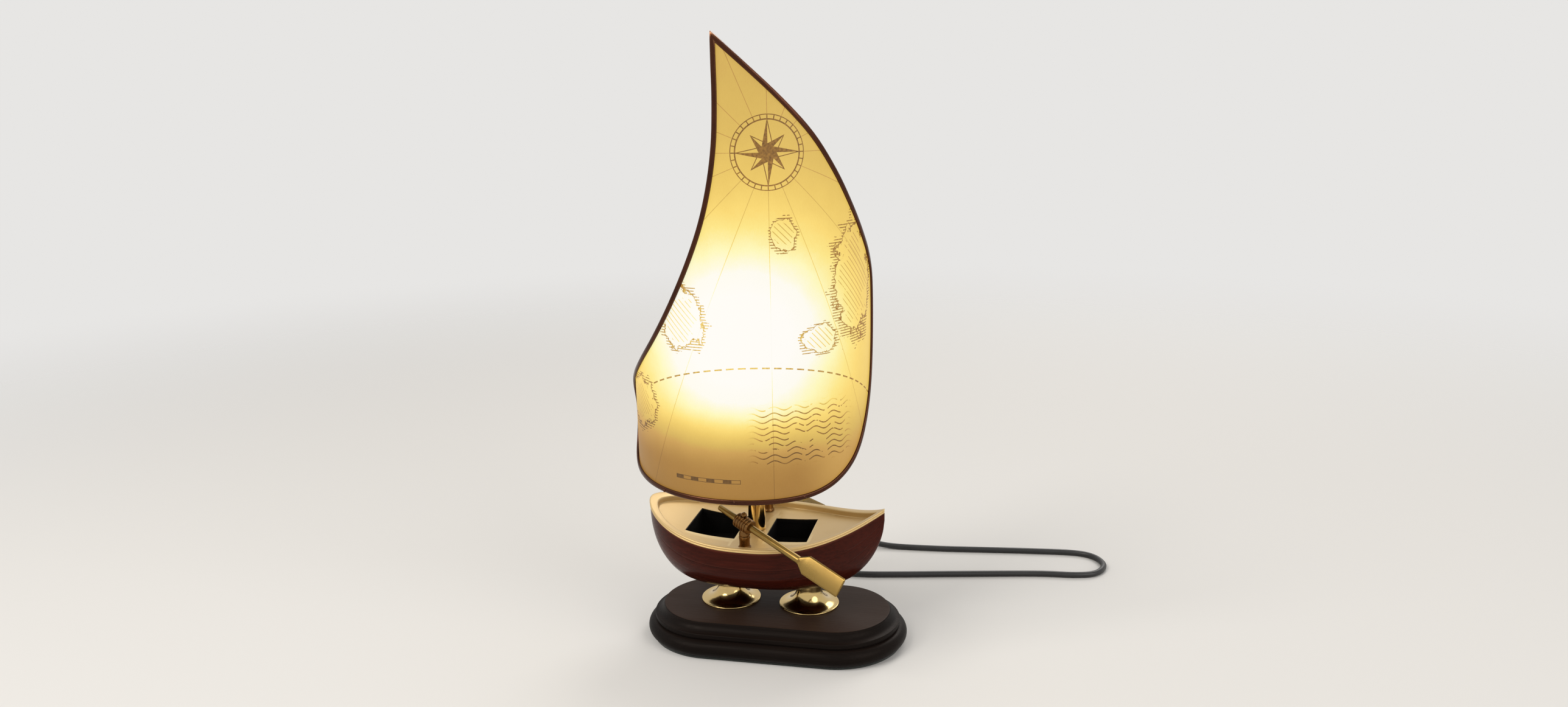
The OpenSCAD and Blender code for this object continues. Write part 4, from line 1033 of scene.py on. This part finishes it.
    def tie(self):
        """A flat strap round the coil, with a twisted tail."""
        middle = (RELIEF_TIP + COIL_MIDDLE) / MM
        inner, outer, half_wide, level = 19.0, 40.2, 3.2, 5.55
        loop = oblong(outer - inner, 11.0, 2.6, 6)
        x0 = middle.x - (outer + inner) / 2
        rings = []
        for grow, side in ((0, -1), (0, 1), (0.55, 1), (0.55, -1)):
            y = middle.y + side * half_wide
            rings.append([
                (x0 + x * (1 + grow / 12), y, max(level + z * (1 + grow / 6), 0.02)) for x, z in loop
            ])
        twist = [
            (x0 + 3 * math.sin(k / 3), middle.y + 2.2 * math.cos(k / 2.5), 11.4 + 0.16 * k)
            for k in range(9)
        ]
        round_wire = arc(0, 0, 1, 0, 324, 9)
        wire = skin([[(x + 0.7 * c, y, z + 0.45 * s) for c, s in round_wire] for x, y, z in twist])
        return piece("coil_tie", joined(skin(rings, loop=True), wire), black_plastic)


class BOATLAMP_OT_plinth(MakeOperator):
    """Turns the wooden plinth and lays the felt"""

    bl_idname = "boat_lamp.plinth"
    bl_label = "Plinth"

    def make(self, settings):
        plinth = settings.plinth
        spine, top = plinth.spine / MM, plinth.top_reach / MM
        lip, bead = plinth.lip_reach / MM, plinth.bead_reach / MM
        profile = [(top - 6, 25.0)] + eased([
            (top - 3, 25.0), (top - 0.2, 25.0, 0.7), (top, 24.2), *arc(lip, 25.6, 7.1, 190, 262, 12),
            (lip, 18.5, 0.6), (lip, 15.1, 0.5), (bead, 14.9, 0.3), (bead, 13.9),
            *arc(bead, 7.7, 6.2, 78, -78, 18), (bead - 0.6, 1.5, 0.3), (bead - 4, 1.5),
        ], 4)
        arcs = 40
        spots = [(spine, math.radians(-90 + 180 * k / arcs)) for k in range(arcs + 1)]
        spots += [(-spine, math.radians(90 + 180 * k / arcs)) for k in range(arcs + 1)]
        rings = [[(x + r * math.cos(a), r * math.sin(a), z) for x, a in spots] for r, z in profile]
        piece("plinth_wood", skin(rings), dark_wood, ("plinth",), crease=40)
        paint(felt, "felt_pad")


class BOATLAMP_OT_pillars(MakeOperator):
    """Turns the two brass pillars"""

    bl_idname = "boat_lamp.pillars"
    bl_label = "Pillars"

    def make(self, settings):
        profile = [(0, 25), (15, 25)] + eased([
            (20, 25), (22.8, 25.0, 0.4), (22.8, 26.2, 0.5), (21.6, 26.2, 0.2),
            *arc(21.6, 38.3, 12.1, 266, 184, 22), (9.5, 38.3),
        ], 4) + [(9.5, 45.5), (0, 45.5)]
        for side, x in PILLARS.items():
            shape = moved(lathe(profile, 72), upright(x, settings.boat.centre / MM, 0))
            piece("pillar_brass_" + side, shape, polished_brass, ("pillar_" + side,))


class BOATLAMP_OT_hull(MakeOperator):
    """Planks the hull"""

    bl_idname = "boat_lamp.hull"
    bl_label = "Hull"

    def make(self, settings):
        lines = HullLines(settings.boat)
        places = [lines.station(i) for i in range(lines.stations + 1)]
        edges = lines.plank_edges()
        outer = [lines.section(t, 0, 0, lines.tip, 0, edges) for t in places]
        rounds, nose_out, nose_ease = 4, 0.6, 5
        for end, row in ((-1, 0), (1, -1)):
            post = outer[row]
            foot = min(z for x, y, z in post)
            for k in range(1, rounds + 1):
                a = math.radians(88 * k / rounds)
                nose = [
                    (x + end * nose_out * math.sin(a) * min((z - foot) / nose_ease, 1),
                     lines.centre + (y - lines.centre) * math.cos(a), z)
                    for x, y, z in post
                ]
                outer.insert(0 if end < 0 else len(outer), nose)
        smooth = [(90 * k / 18, 0) for k in range(19)]
        end_wall = lines.wall + lines.end_wall
        inner = [lines.section(t, lines.wall, end_wall, lines.tip / 2, lines.wall, smooth) for t in places]
        points, faces = joined(skin(outer, open_ring=True), skin(inner, open_ring=True))
        cols, deep = len(outer[0]), len(inner[0])
        base = len(outer) * cols
        last, low = len(outer) - 1, len(inner) - 1
        for edge, brink in ((0, 0), (cols - 1, deep - 1)):
            for i in range(low):
                a, b = (i + rounds) * cols + edge, (i + rounds + 1) * cols + edge
                faces.append((a, b, base + (i + 1) * deep + brink, base + i * deep + brink))
        for row, bow in ((rounds, 0), (last - rounds, low)):
            near, far = row * cols, row * cols + cols - 1
            faces.append((near, far, base + bow * deep + deep - 1, base + bow * deep))
        for start in (0, last - rounds):
            for row in range(start, start + rounds):
                a, b = row * cols, (row + 1) * cols
                faces.append((a, a + cols - 1, b + cols - 1, b))
        piece("boat_hull", (points, faces), lacquered_wood, ("hull_near", "hull_far"), crease=30)


class BOATLAMP_OT_deck(MakeOperator):
    """Lays the gold deck, the rail and the black wells"""

    bl_idname = "boat_lamp.deck"
    bl_label = "Deck, rail and wells"

    def make(self, settings):
        lines = HullLines(settings.boat)
        self.rail(lines)
        self.deck(lines)
        for name in WELLS:
            self.well_rim(lines, name)
        paint(black_paint, "well_tray_left", "well_tray_right")

    def rail(self, lines):
        n, over, lap = lines.stations, lines.rail_over, lines.wall + lines.rail_lap
        tall, deep = lines.rail_tall, lines.deck_drop - 0.05
        rings = []
        for i in range(2 * n):
            side = -1 if i < n else 1
            t = lines.station(i if i < n else 2 * n - i)
            tip = 0 if i % n == 0 else lines.tip
            x0, x1 = lines.along(t, -over), lines.along(t, lap + lines.end_wall)
            y0 = side * lines.half_beam(t, -over, tip)
            y1 = side * lines.half_beam(t, lap, tip / 2)
            outer = Vector((x0, lines.centre + y0, lines.rail + lines.sheer_at(x0)))
            inner = Vector((x1, lines.centre + y1, lines.rail + lines.sheer_at(x1)))
            wide = (inner - outer).length
            shape = eased([
                (0.15, -tall, 0.3), (wide - 1.2, -tall, 0.2), (wide - 1.1, -deep, 0.1),
                (wide + 0.6, -deep, 0.1), (wide + 0.1, 0.5 - deep, 0.4), (wide, 0, 1.1), (0, 0, 1.1),
                (0, -1.35, 0.3), (0.5, -1.6, 0.15), (0.5, -1.95, 0.15), (0.1, -2.2, 0.3),
            ], 3, True)
            rings.append([outer.lerp(inner, s / wide) + Vector((0, 0, h)) for s, h in shape])
        piece("boat_rail", skin(rings, loop=True), gold_paint, ("gunwale_rail",), crease=60)

    def deck(self, lines):
        inset = lines.wall + lines.deck_gap
        rows = {}
        for i in range(lines.stations + 1):
            t = lines.station(i)
            x = round(lines.along(t, inset + lines.end_wall), 4)
            rows[x] = lines.half_beam(t, inset, lines.tip / 2)
        for x in (x for well in WELLS.values() for x in well):
            a, b = max(v for v in rows if v <= x), min(v for v in rows if v > x)
            rows[x] = rows[a] + (rows[b] - rows[a]) * (x - a) / (b - a)
        xs = sorted(rows)
        points, faces, sides = [], [], {}
        for level in (0, lines.deck_thick):
            for x in xs:
                edge = rows[x]
                well = min(HALF_WELL, edge * 0.82)
                between = well + (edge - well) * 0.35
                ys = (-edge, -between, -well, 0, well, between, edge)
                points += [(x, lines.centre + y, lines.deck_at(x) - level) for y in ys]
        cols = len(ys)
        drop = cols * len(xs)
        for i in range(len(xs) - 1):
            middle = (xs[i] + xs[i + 1]) / 2
            open_well = any(a < middle < b for a, b in WELLS.values())
            for k in range(cols - 1):
                if open_well and k in (2, 3):
                    continue
                a = i * cols + k
                face = (a, a + cols, a + cols + 1, a + 1)
                faces += [face, tuple(corner + drop for corner in face)]
                for p, q in zip(face, face[1:] + face[:1]):
                    side = min(p, q), max(p, q)
                    sides[side] = sides.get(side, 0) + 1
        faces += [(p, q, q + drop, p + drop) for (p, q), used in sides.items() if used == 1]
        softened(piece("boat_deck", (points, faces), gold_paint, ("deck",), crease=40), 0.4)

    def well_rim(self, lines, name):
        """A thin black band inside the deck's opening, over the deck's cut edge."""
        start, end = WELLS[name]
        steps = 10
        rings = []
        for inset, drop in ((0.03, 0.45), (0.3, 0.3), (0.5, 0.45), (0.5, 3.2), (0.03, 3.2)):
            x0, x1, y = start + inset, end - inset, HALF_WELL - inset
            row = [x0 + (x1 - x0) * k / steps for k in range(steps + 1)]
            outline = [(x, -y) for x in row] + [(x, y) for x in reversed(row)]
            rings.append([(x, lines.centre + y, lines.deck_at(x) - drop) for x, y in outline])
        piece("well_rim_" + name, skin(rings, loop=True), black_paint)


class BOATLAMP_OT_stem(MakeOperator):
    """Turns the brass stem"""

    bl_idname = "boat_lamp.stem"
    bl_label = "Stem"

    def make(self, settings):
        top = 136.5
        profile = [(0, DECK_TOP)] + eased([
            (5.2, DECK_TOP), (6.5, DECK_TOP, 0.4), (6.5, top, 0.6), (5.2, top),
        ], 4) + [(0, top)]
        piece("stem_brass", moved(lathe(profile, 56), on_stem(settings)), polished_brass, ("stem_sleeve",))
        paint(thread_brass, "stem_tube", "tie_tube_left", "tie_tube_right")
        paint(polished_brass, "stem_nut", "tie_nuts")
        paint(steel, "stem_washer", "tie_washers", "switch_screws")


class BOATLAMP_OT_lampholder(MakeOperator):
    """Turns the lampholder and the wire inside"""

    bl_idname = "boat_lamp.lampholder"
    bl_label = "Lampholder"

    def make(self, settings):
        place = on_stem(settings)
        cap = [(0, 138.5)] + eased([
            (8, 138.5), (10.5, 138.5, 0.6), (11.4, 140.0, 0.8), (14.6, 146.5, 3.0), (19.2, 152.0, 2.2),
            (20, 154.6, 0.8), (20, 160.3, 0.5), (19.2, 160.4),
        ], 5) + [(0, 160.4)]
        piece("lampholder_cap", moved(lathe(cap, 64), place), black_plastic, ("holder_cap",))
        rim = [(17.9, 160.55)] + eased([
            (19.2, 160.55), (20, 160.7, 0.3), (20, 164.0), (20, 186.0), (20, 190.5, 0.9),
            (18.1, 190.5, 0.5), (18.0, 186), (18.0, 161.0), (17.9, 160.55),
        ], 4)
        heights = []
        for (r, z), (r2, z2) in zip(rim, rim[1:]):
            parts = max(1, int(abs(z2 - z) / 2.5))
            heights += [(r + (r2 - r) * k / parts, z + (z2 - z) * k / parts) for k in range(parts)]

        def grips(r, z, a):
            return -0.35 * (0.5 + 0.5 * math.cos(36 * a)) if r > 19.5 and 166 < z < 184 else 0

        shell = lathe(heights, 216, grips, loop=True)
        piece("lampholder_shell", moved(shell, place), black_plastic, ("holder_shell",))
        paint(porcelain, "holder_insert")
        paint(thread_brass, "holder_thread", "holder_contact")
        self.wire()

    def wire(self):
        """The wire from the plinth by a pillar and the hull up the stem."""
        radius, ring = 1.5, arc(0, 0, 1, 0, 360 * 13 / 14, 13)
        route = curve([
            (-20, 52, 7.3), (-20, 42, 7.3), (-20, 30, 6.3), (-28.4, 14, 4.0), (-34.25, 6.5, 4.4),
            (-36.75, 5, 7.9), (-36.75, 5, 15), (-36.75, 5, 56.5), (-34.75, 5, 60.5), (-28.75, 5, 62.5),
            (-21, 5, 63.5), (-16, 5, 66.5), (-15, 5, 72.5), (-15, 5, 83), (-15, 5, 138.5), (-15, 5, 152.5),
        ], 6)
        rings = []
        across = Vector((1, 0, 0))
        for i, p in enumerate(route):
            t = (route[min(i + 1, len(route) - 1)] - route[max(i - 1, 0)]).normalized()
            across = (across - t * across.dot(t)).normalized()
            other = t.cross(across)
            rings.append([p + (across * c + other * s) * radius for c, s in ring])
        piece("inner_wire", skin(rings), lead_core, ("inner_lead",))


class BOATLAMP_OT_bulb(MakeOperator):
    """Blows the bulb and rolls its screw cap"""

    bl_idname = "boat_lamp.bulb"
    bl_label = "Bulb"

    def make(self, settings):
        bulb = settings.bulb
        place = on_stem(settings)
        wide, z0, z1, pitch = bulb.cap_radius / MM - 0.45, 168.8, 192.8, 3.62
        rows = [(0, z0), (6, z0), (10.5, z0 + 0.5)]
        rows += [(wide, z0 + 2 + k * 0.3) for k in range(int((z1 - z0 - 3.4) / 0.3))]
        rows += [(wide + 0.3, z1 - 1.0), (wide + 0.35, z1 - 0.2), (wide, z1), (0, z1)]

        def thread(r, z, a):
            fade = min(max((z - z0 - 1.5) / 2.5, 0), 1) * min(max((z1 - 1.2 - z) / 2.5, 0), 1)
            return 0.42 * fade * math.sin(TURN * z / pitch - a)

        piece("bulb_screw", moved(lathe(rows, 72, thread), place), bulb_metal, ("bulb_cap",), "bulb", 50)
        ball, high, neck = bulb.globe / MM, bulb.globe_height / MM, 13.0
        low = 24 - math.degrees(math.acos(neck / ball))
        profile = [(0, z1), (neck - 0.6, z1)] + eased([
            (neck - 0.2, z1), (neck, z1 + 1.5, 0.6), (neck, z1 + 8),
            *self.neck(neck, z1 + 8, arc(0, high, ball, low, 90, 1)[0], math.radians(low)),
        ], 3)
        profile += arc(0, high, ball, low, 90, 40)[1:-1] + [(0, high + ball)]
        piece("bulb_globe", moved(lathe(profile, 72), place), opal_glass, ("bulb_glass",), "bulb", 60)
        paint(steel, "bulb_tip")

    def neck(self, wide, start, end, turn):
        """The easy curve from the bulb's neck to its globe; turn is where on the globe it ends."""
        reach = (end[1] - start) * 0.55
        x, z = end[0] + math.sin(turn) * reach, end[1] - math.cos(turn) * reach
        out = []
        for k in range(1, 13):
            t = k / 12
            a, b, c, d = (1 - t) ** 3, 3 * t * (1 - t) ** 2, 3 * t * t * (1 - t), t ** 3
            out.append((
                (a + b) * wide + c * x + d * end[0],
                a * start + b * (start + reach * 0.6) + c * z + d * end[1],
            ))
        return out


class BOATLAMP_OT_sail(MakeOperator):
    """Bends the sail, its edge trim and its bracket"""

    bl_idname = "boat_lamp.sail"
    bl_label = "Sail"

    bracket_turns = (-33, 4, 36)

    def make(self, settings):
        self.sail = settings.sail
        self.axis = (self.sail.stem_x / MM, settings.boat.centre / MM)
        self.luff = curve([(*p, 0) for p in LUFF], 5)
        self.leech = curve([(*p, 0) for p in LEECH], 5)
        self.sheet()
        self.trim()
        self.bracket()
        self.rivets()

    def on_sail(self, turn, share, reach):
        a = math.radians(turn)
        return Vector((
            self.axis[0] + reach * math.sin(a),
            self.axis[1] - reach * math.cos(a),
            self.sail.foot / MM + self.sail.height / MM * share,
        ))

    def sheet(self):
        columns = 48
        middle, thick = self.sail.radius / MM, self.sail.thickness / MM
        rows = len(self.luff)
        points, faces = [], []
        for reach in (middle - thick / 2, middle + thick / 2):
            for a, b in zip(self.luff, self.leech):
                for k in range(columns + 1):
                    p = a.lerp(b, k / columns)
                    points.append(self.on_sail(p.x, p.y, reach))
        cols = columns + 1
        far = rows * cols
        for base in (0, far):
            for i in range(rows - 1):
                for k in range(columns):
                    a = base + i * cols + k
                    faces.append((a, a + 1, a + cols + 1, a + cols))
        for i in range(rows - 1):
            for k in (0, columns):
                a = i * cols + k
                faces.append((a, a + cols, a + cols + far, a + far))
        sheet = piece("sail_cloth", (points, faces), parchment, ("sail_sheet",), "sail")
        layer = sheet.data.uv_layers.new(name="sheet")
        spots = []
        for loop in sheet.data.loops:
            p = sheet.data.vertices[loop.vertex_index].co / MM
            turn = math.atan2(p.x - self.axis[0], self.axis[1] - p.y)
            spots += [turn * self.sail.radius, p.z * MM]
        layer.data.foreach_set("uv", spots)

    def trim(self):
        reach, slot = self.sail.radius / MM, self.sail.thickness / MM / 2 + 0.35
        inside, outside = self.sail.trim_in / MM, self.sail.trim_out / MM
        half = self.sail.trim_thick / MM / 2
        shape = eased([
            (0.5, -slot), (0.5, slot), (-inside, slot, 0.2), (-inside, half, 1.3), (outside, half, 1.6),
            (outside, -half, 1.6), (-inside, -half, 1.3), (-inside, -slot, 0.2),
        ], 4, True)
        loop = self.luff + self.leech[-2:0:-1]
        spots = [self.on_sail(p.x, p.y, reach) for p in loop]
        n = len(loop)
        rings = []
        for i, p in enumerate(spots):
            before = (p - spots[i - 1]).normalized()
            after = (spots[(i + 1) % n] - p).normalized()
            a = math.radians(loop[i].x)
            out = Vector((math.sin(a), -math.cos(a), 0))
            side = out.cross((before + after).normalized()).normalized()
            stretch = min(2 / max((before + after).length, 0.01), 2.2)
            rings.append([p + side * (stretch * x) + out * y for x, y in shape])
        piece("sail_edge", skin(rings, loop=True), bronze_trim, ("sail_trim",), "sail", 60)

    def bracket(self):
        """A hub on the stem with an arm to the sail's foot at each turn."""
        low, high = 136.6, 138.4
        hub = [(5.1, low)] + eased([
            (9, low), (10, low, 0.4), (10, high, 0.4), (9, high),
        ], 3) + [(5.1, high)]
        arm = []
        for x, half in ((8, 4.5), (14, 4), (30, 3.7), (60, 3.5), (78, 4), (82.2, 4), (83.2, 3.3)):
            section = eased([
                (-half, low, 0.35), (half, low, 0.35), (half, high, 0.5), (-half, high, 0.5),
            ], 3, True)
            arm.append([(x, y, z) for y, z in section])
        shapes = [lathe(hub, 56, loop=True)]
        for turn in self.bracket_turns:
            shapes.append(moved(skin(arm), Matrix.Rotation(math.radians(turn - 90), 4, "Z")))
        place = upright(*self.axis, 0)
        piece("sail_bracket", moved(joined(*shapes), place), bronze_trim, ("sail_carrier",), "sail")

    def rivets(self):
        """A rivet through the trim at the end of each arm."""
        dome = [(0, -0.6), (1.2, -0.6), (1.2, 0.1), *arc(0, -0.35, 1.25, 22, 84, 6), (0, 0.9)]
        reach = self.sail.radius / MM + self.sail.trim_thick / MM / 2 - 0.15
        shapes = []
        for turn in self.bracket_turns:
            a = math.radians(turn)
            place = toward(*self.on_sail(turn, 0.0035, reach), (math.sin(a), -math.cos(a), 0))
            shapes.append(moved(lathe(dome, 24), place))
        piece("sail_rivets", joined(*shapes), bronze_trim, body="sail")


class BOATLAMP_OT_oars(MakeOperator):
    """Turns the rowlocks and collars and forges the oars"""

    bl_idname = "boat_lamp.oars"
    bl_label = "Rowlocks and oars"

    def make(self, settings):
        for name, side in (("near", -1), ("far", 1)):
            self.rower(settings, name, side)

    def rower(self, settings, name, side):
        oar = settings.oar
        x, y = settings.sail.stem_x / MM, settings.boat.centre / MM + side * oar.reach / MM
        high = oar.collar_height / MM
        place = upright(x, y, 0)
        head = 92.8
        post = [(0, DECK_TOP)] + eased([
            (3.0, DECK_TOP), (4.8, DECK_TOP, 0.2), (4.8, 84.4, 0.5), (4.0, 85.2, 0.8), (3.9, 88.5, 1.0),
            (4.2, 91.2, 1.0), (4.2, head, 0.5), (3.0, head),
        ], 4) + [(0, head)]
        piece("rowlock_post_" + name, moved(lathe(post, 44), place), aged_brass, ("rowlock_" + name,))
        sweep, dip = (oar.near_sweep, oar.near_dip) if side < 0 else (oar.far_sweep, oar.far_dip)
        aim = upright(x, y, high) @ Matrix.Rotation(side * sweep, 4, "Z") @ Matrix.Rotation(dip, 4, "Y")
        along = Matrix.Rotation(math.radians(90), 4, "Y")
        end, pitch = 6.9, 2.3
        groove = (
            (5.5, -0.75), (5.35, -0.52), (4.75, -0.22), (4.7, 0), (4.75, 0.22), (5.35, 0.52),
            (5.5, 0.75),
        )
        ridges = [(2.2, -end)] + eased([(4.7, -end, 0.3), (5.4, 0.5 - end, 0.4)], 2)
        for k in range(1, 6):
            z = pitch * k - end
            ridges += [(r, z + up) for r, up in groove]
        ridges += eased([(5.4, end - 0.5, 0.4), (4.7, end, 0.3)], 2) + [(2.2, end)]
        saddle = [(0, 85.9), (1.5, 85.9), (1.5, 92.9)] + eased([
            (2.5, 92.9), (4.0, 92.9, 0.3), (4.0, 94.2, 0.6), (3.4, 97.0),
        ], 3) + [(3.2, 99.0), (0, 99.0)]
        knob = 2.2
        top = high + 5.5 + knob / 2
        ball = [(0, high + 4.7), (1.3, high + 4.7)] + arc(0, top, knob, -52, 88, 14) + [(0, top + knob)]
        collar = joined(
            moved(lathe(ridges, 48, loop=True), aim @ along),
            moved(lathe(saddle, 36), place),
            moved(lathe(ball, 32), place),
        )
        body = name + "_oar"
        piece("oar_collar_" + name, collar, aged_brass, ("collar_" + name,), body)
        piece("oar_brass_" + name, moved(self.oar(oar, side), aim), cast_brass, ("oar_" + name,), body, 24)

    def oar(self, oar, side):
        back, out = -oar.inboard / MM, oar.outboard / MM
        loom = [
            (0, back), (1.5, back), (1.95, back + 0.3), (2.15, back + 0.9), (2.4, back + 10), (2.5, -7),
            (2.5, 5), (2.6, 9), (2.75, out - 20), (2.9, out - 6), (2.9, out), (1.9, out + 1.5),
            (0, out + 2.0),
        ]
        shaft = moved(lathe(loom, 36), Matrix.Rotation(math.radians(90), 4, "Y"))
        return joined(shaft, moved(self.blade(oar, out), Matrix.Rotation(side * oar.feather, 4, "X")))

    def blade(self, oar, out):
        """A flat blade with sloped shoulders, bevelled edges and a bowed tip."""
        length, half = oar.blade_length / MM, oar.blade_width / MM / 2
        bevel, bow, tip_round = 1.1, 1.2, 0.5
        rows = []
        for x, wide, thick in (
            (-3.0, 1.9, 1.9), (-1.2, 2.4, 2.1), (0, 2.9, 2.0), (1.0, 3.5, 1.85), (5.2, 6.3, 1.25),
            (6.5, half, 1.1), (7.8, half, 1.02), (12, half, 1.0), (18, half, 1.0), (26, half, 1.0),
            (length - 4, half, 1.0), (length - tip_round, half, 1.0), (length, half - 0.3, 0.6),
        ):
            edge, flat = 0.4 * thick, wide - min(bevel, wide * 0.4)
            half_section = [
                (-wide, -edge, 0.12), (-flat, -thick, 0.15), (flat, -thick, 0.15), (wide, -edge, 0.12),
            ]
            section = eased(half_section + [(-z, -y, ease) for z, y, ease in half_section], 2, True)
            curl = bow * max(x - length + 6, 0) / 6
            rows.append([(out + x - curl * (z / half) ** 2, y, z) for z, y in section])
        return skin(rows)


class BOATLAMP_OT_stage(MakeOperator):
    """Sets the pale floor and the soft light"""

    bl_idname = "boat_lamp.stage"
    bl_label = "Floor and light"

    def make(self, settings):
        stage = settings.stage
        self.floor(stage)
        self.world(stage)
        for name, place, aim, wide, power, colour in (
            ("key", (-1.15, -1.25, 1.75), (0, 0, 0.15), 1.3, 30, (1.0, 0.97, 0.92)),
            ("fill", (1.6, -1.0, 1.1), (0, 0, 0.15), 1.5, 13, (1.0, 0.98, 0.95)),
            ("back", (0.5, 1.7, 1.5), (0, 0, 0.2), 1.2, 12, (1.0, 0.97, 0.92)),
        ):
            data = bpy.data.lights.new(name, "AREA")
            data.shape, data.size = "DISK", wide
            data.energy, data.color = power, colour
            lamp = bpy.data.objects.new(name, data)
            lamp.location = place
            lamp.rotation_euler = (Vector(aim) - Vector(place)).to_track_quat("-Z", "Y").to_euler()
            bpy.context.scene.collection.objects.link(lamp)

    def floor(self, stage):
        sides, level = 96, -0.0002
        points, faces = lathe([(r, level) for r in (200, 400, 700, 1100, 1600, 2200, 3200)], sides)
        # The last face would cover the others, so it is left out
        mesh = bpy.data.meshes.new("floor")
        mesh.from_pydata([[c * MM for c in p] for p in points], [], faces[:-1])
        f = Finish("pale_floor", colour=stage.floor)
        speck = f.noise(400)
        f.set(Roughness=f.step(speck, -0.8, 0.8, 0.72, 0.86), shine=0.2)
        split = f.node("ShaderNodeVectorMath", operation="LENGTH")
        f.give(f.place, split.inputs[0])
        fade = f.step(Term(f, split.outputs["Value"]), 0.55, 1.9)
        clear = f.node("ShaderNodeBsdfTransparent")
        blend = f.node("ShaderNodeMixShader")
        f.give(fade, blend.inputs[0])
        f.give(f.shader.outputs[0], blend.inputs[1])
        f.give(clear.outputs[0], blend.inputs[2])
        f.give(blend.outputs[0], f.tree.nodes["Material Output"].inputs[0])
        mesh.materials.append(f.material)
        floor = bpy.data.objects.new("floor", mesh)
        bpy.context.scene.collection.objects.link(floor)

    def world(self, stage):
        world = bpy.data.worlds.new("soft_world")
        world.use_nodes = True
        bpy.context.scene.world = world
        tree = world.node_tree
        tree.nodes.clear()
        rays = tree.nodes.new("ShaderNodeLightPath")
        seen = rays.outputs["Is Camera Ray"]
        for name in ("Is Glossy Ray", "Is Transmission Ray"):
            both = tree.nodes.new("ShaderNodeMath")
            both.operation = "MAXIMUM"
            tree.links.new(seen, both.inputs[0])
            tree.links.new(rays.outputs[name], both.inputs[1])
            seen = both.outputs[0]
        soft = tree.nodes.new("ShaderNodeBackground")
        soft.inputs["Color"].default_value = (1.0, 0.985, 0.96, 1)
        soft.inputs["Strength"].default_value = stage.ambient
        plain = tree.nodes.new("ShaderNodeBackground")
        plain.inputs["Color"].default_value = (*stage.background, 1)
        plain.inputs["Strength"].default_value = 1.0
        blend = tree.nodes.new("ShaderNodeMixShader")
        tree.links.new(seen, blend.inputs[0])
        tree.links.new(soft.outputs[0], blend.inputs[1])
        tree.links.new(plain.outputs[0], blend.inputs[2])
        out = tree.nodes.new("ShaderNodeOutputWorld")
        tree.links.new(blend.outputs[0], out.inputs[0])
        bpy.context.scene.view_settings.view_transform = "Standard"


STEPS = (
    BOATLAMP_OT_camera, BOATLAMP_OT_leads, BOATLAMP_OT_plinth, BOATLAMP_OT_pillars,
    BOATLAMP_OT_hull, BOATLAMP_OT_deck, BOATLAMP_OT_stem, BOATLAMP_OT_lampholder,
    BOATLAMP_OT_bulb, BOATLAMP_OT_sail, BOATLAMP_OT_oars, BOATLAMP_OT_stage,
)
GROUPS = (
    CameraSettings, PlinthSettings, BoatSettings, MetalSettings, SailSettings, BulbSettings,
    OarSettings, LeadSettings, StageSettings, LampSettings,
)


class BOATLAMP_PT_panel(bpy.types.Panel):
    """Lists the lamp's pieces and settings"""

    bl_idname = "BOATLAMP_PT_panel"
    bl_label = "Boat Lamp"
    bl_space_type = "VIEW_3D"
    bl_region_type = "UI"
    bl_category = "Boat Lamp"

    def draw(self, context):
        settings = context.scene.boat_lamp
        for step in STEPS:
            self.layout.operator(step.bl_idname, text=step.bl_label)
        for name in LampSettings.__annotations__:
            group = getattr(settings, name)
            box = self.layout.box()
            box.label(text=name.capitalize())
            for prop in type(group).__annotations__:
                box.prop(group, prop)


def register():
    for group in (*GROUPS, *STEPS, BOATLAMP_PT_panel):
        bpy.utils.register_class(group)
    bpy.types.Scene.boat_lamp = bpy.props.PointerProperty(type=LampSettings)


def unregister():
    del bpy.types.Scene.boat_lamp
    for group in reversed((*GROUPS, *STEPS, BOATLAMP_PT_panel)):
        bpy.utils.unregister_class(group)


def main():
    register()
    for step in STEPS:
        group, name = step.bl_idname.split(".")
        getattr(getattr(bpy.ops, group), name)()


if __name__ == "__main__":
    main()
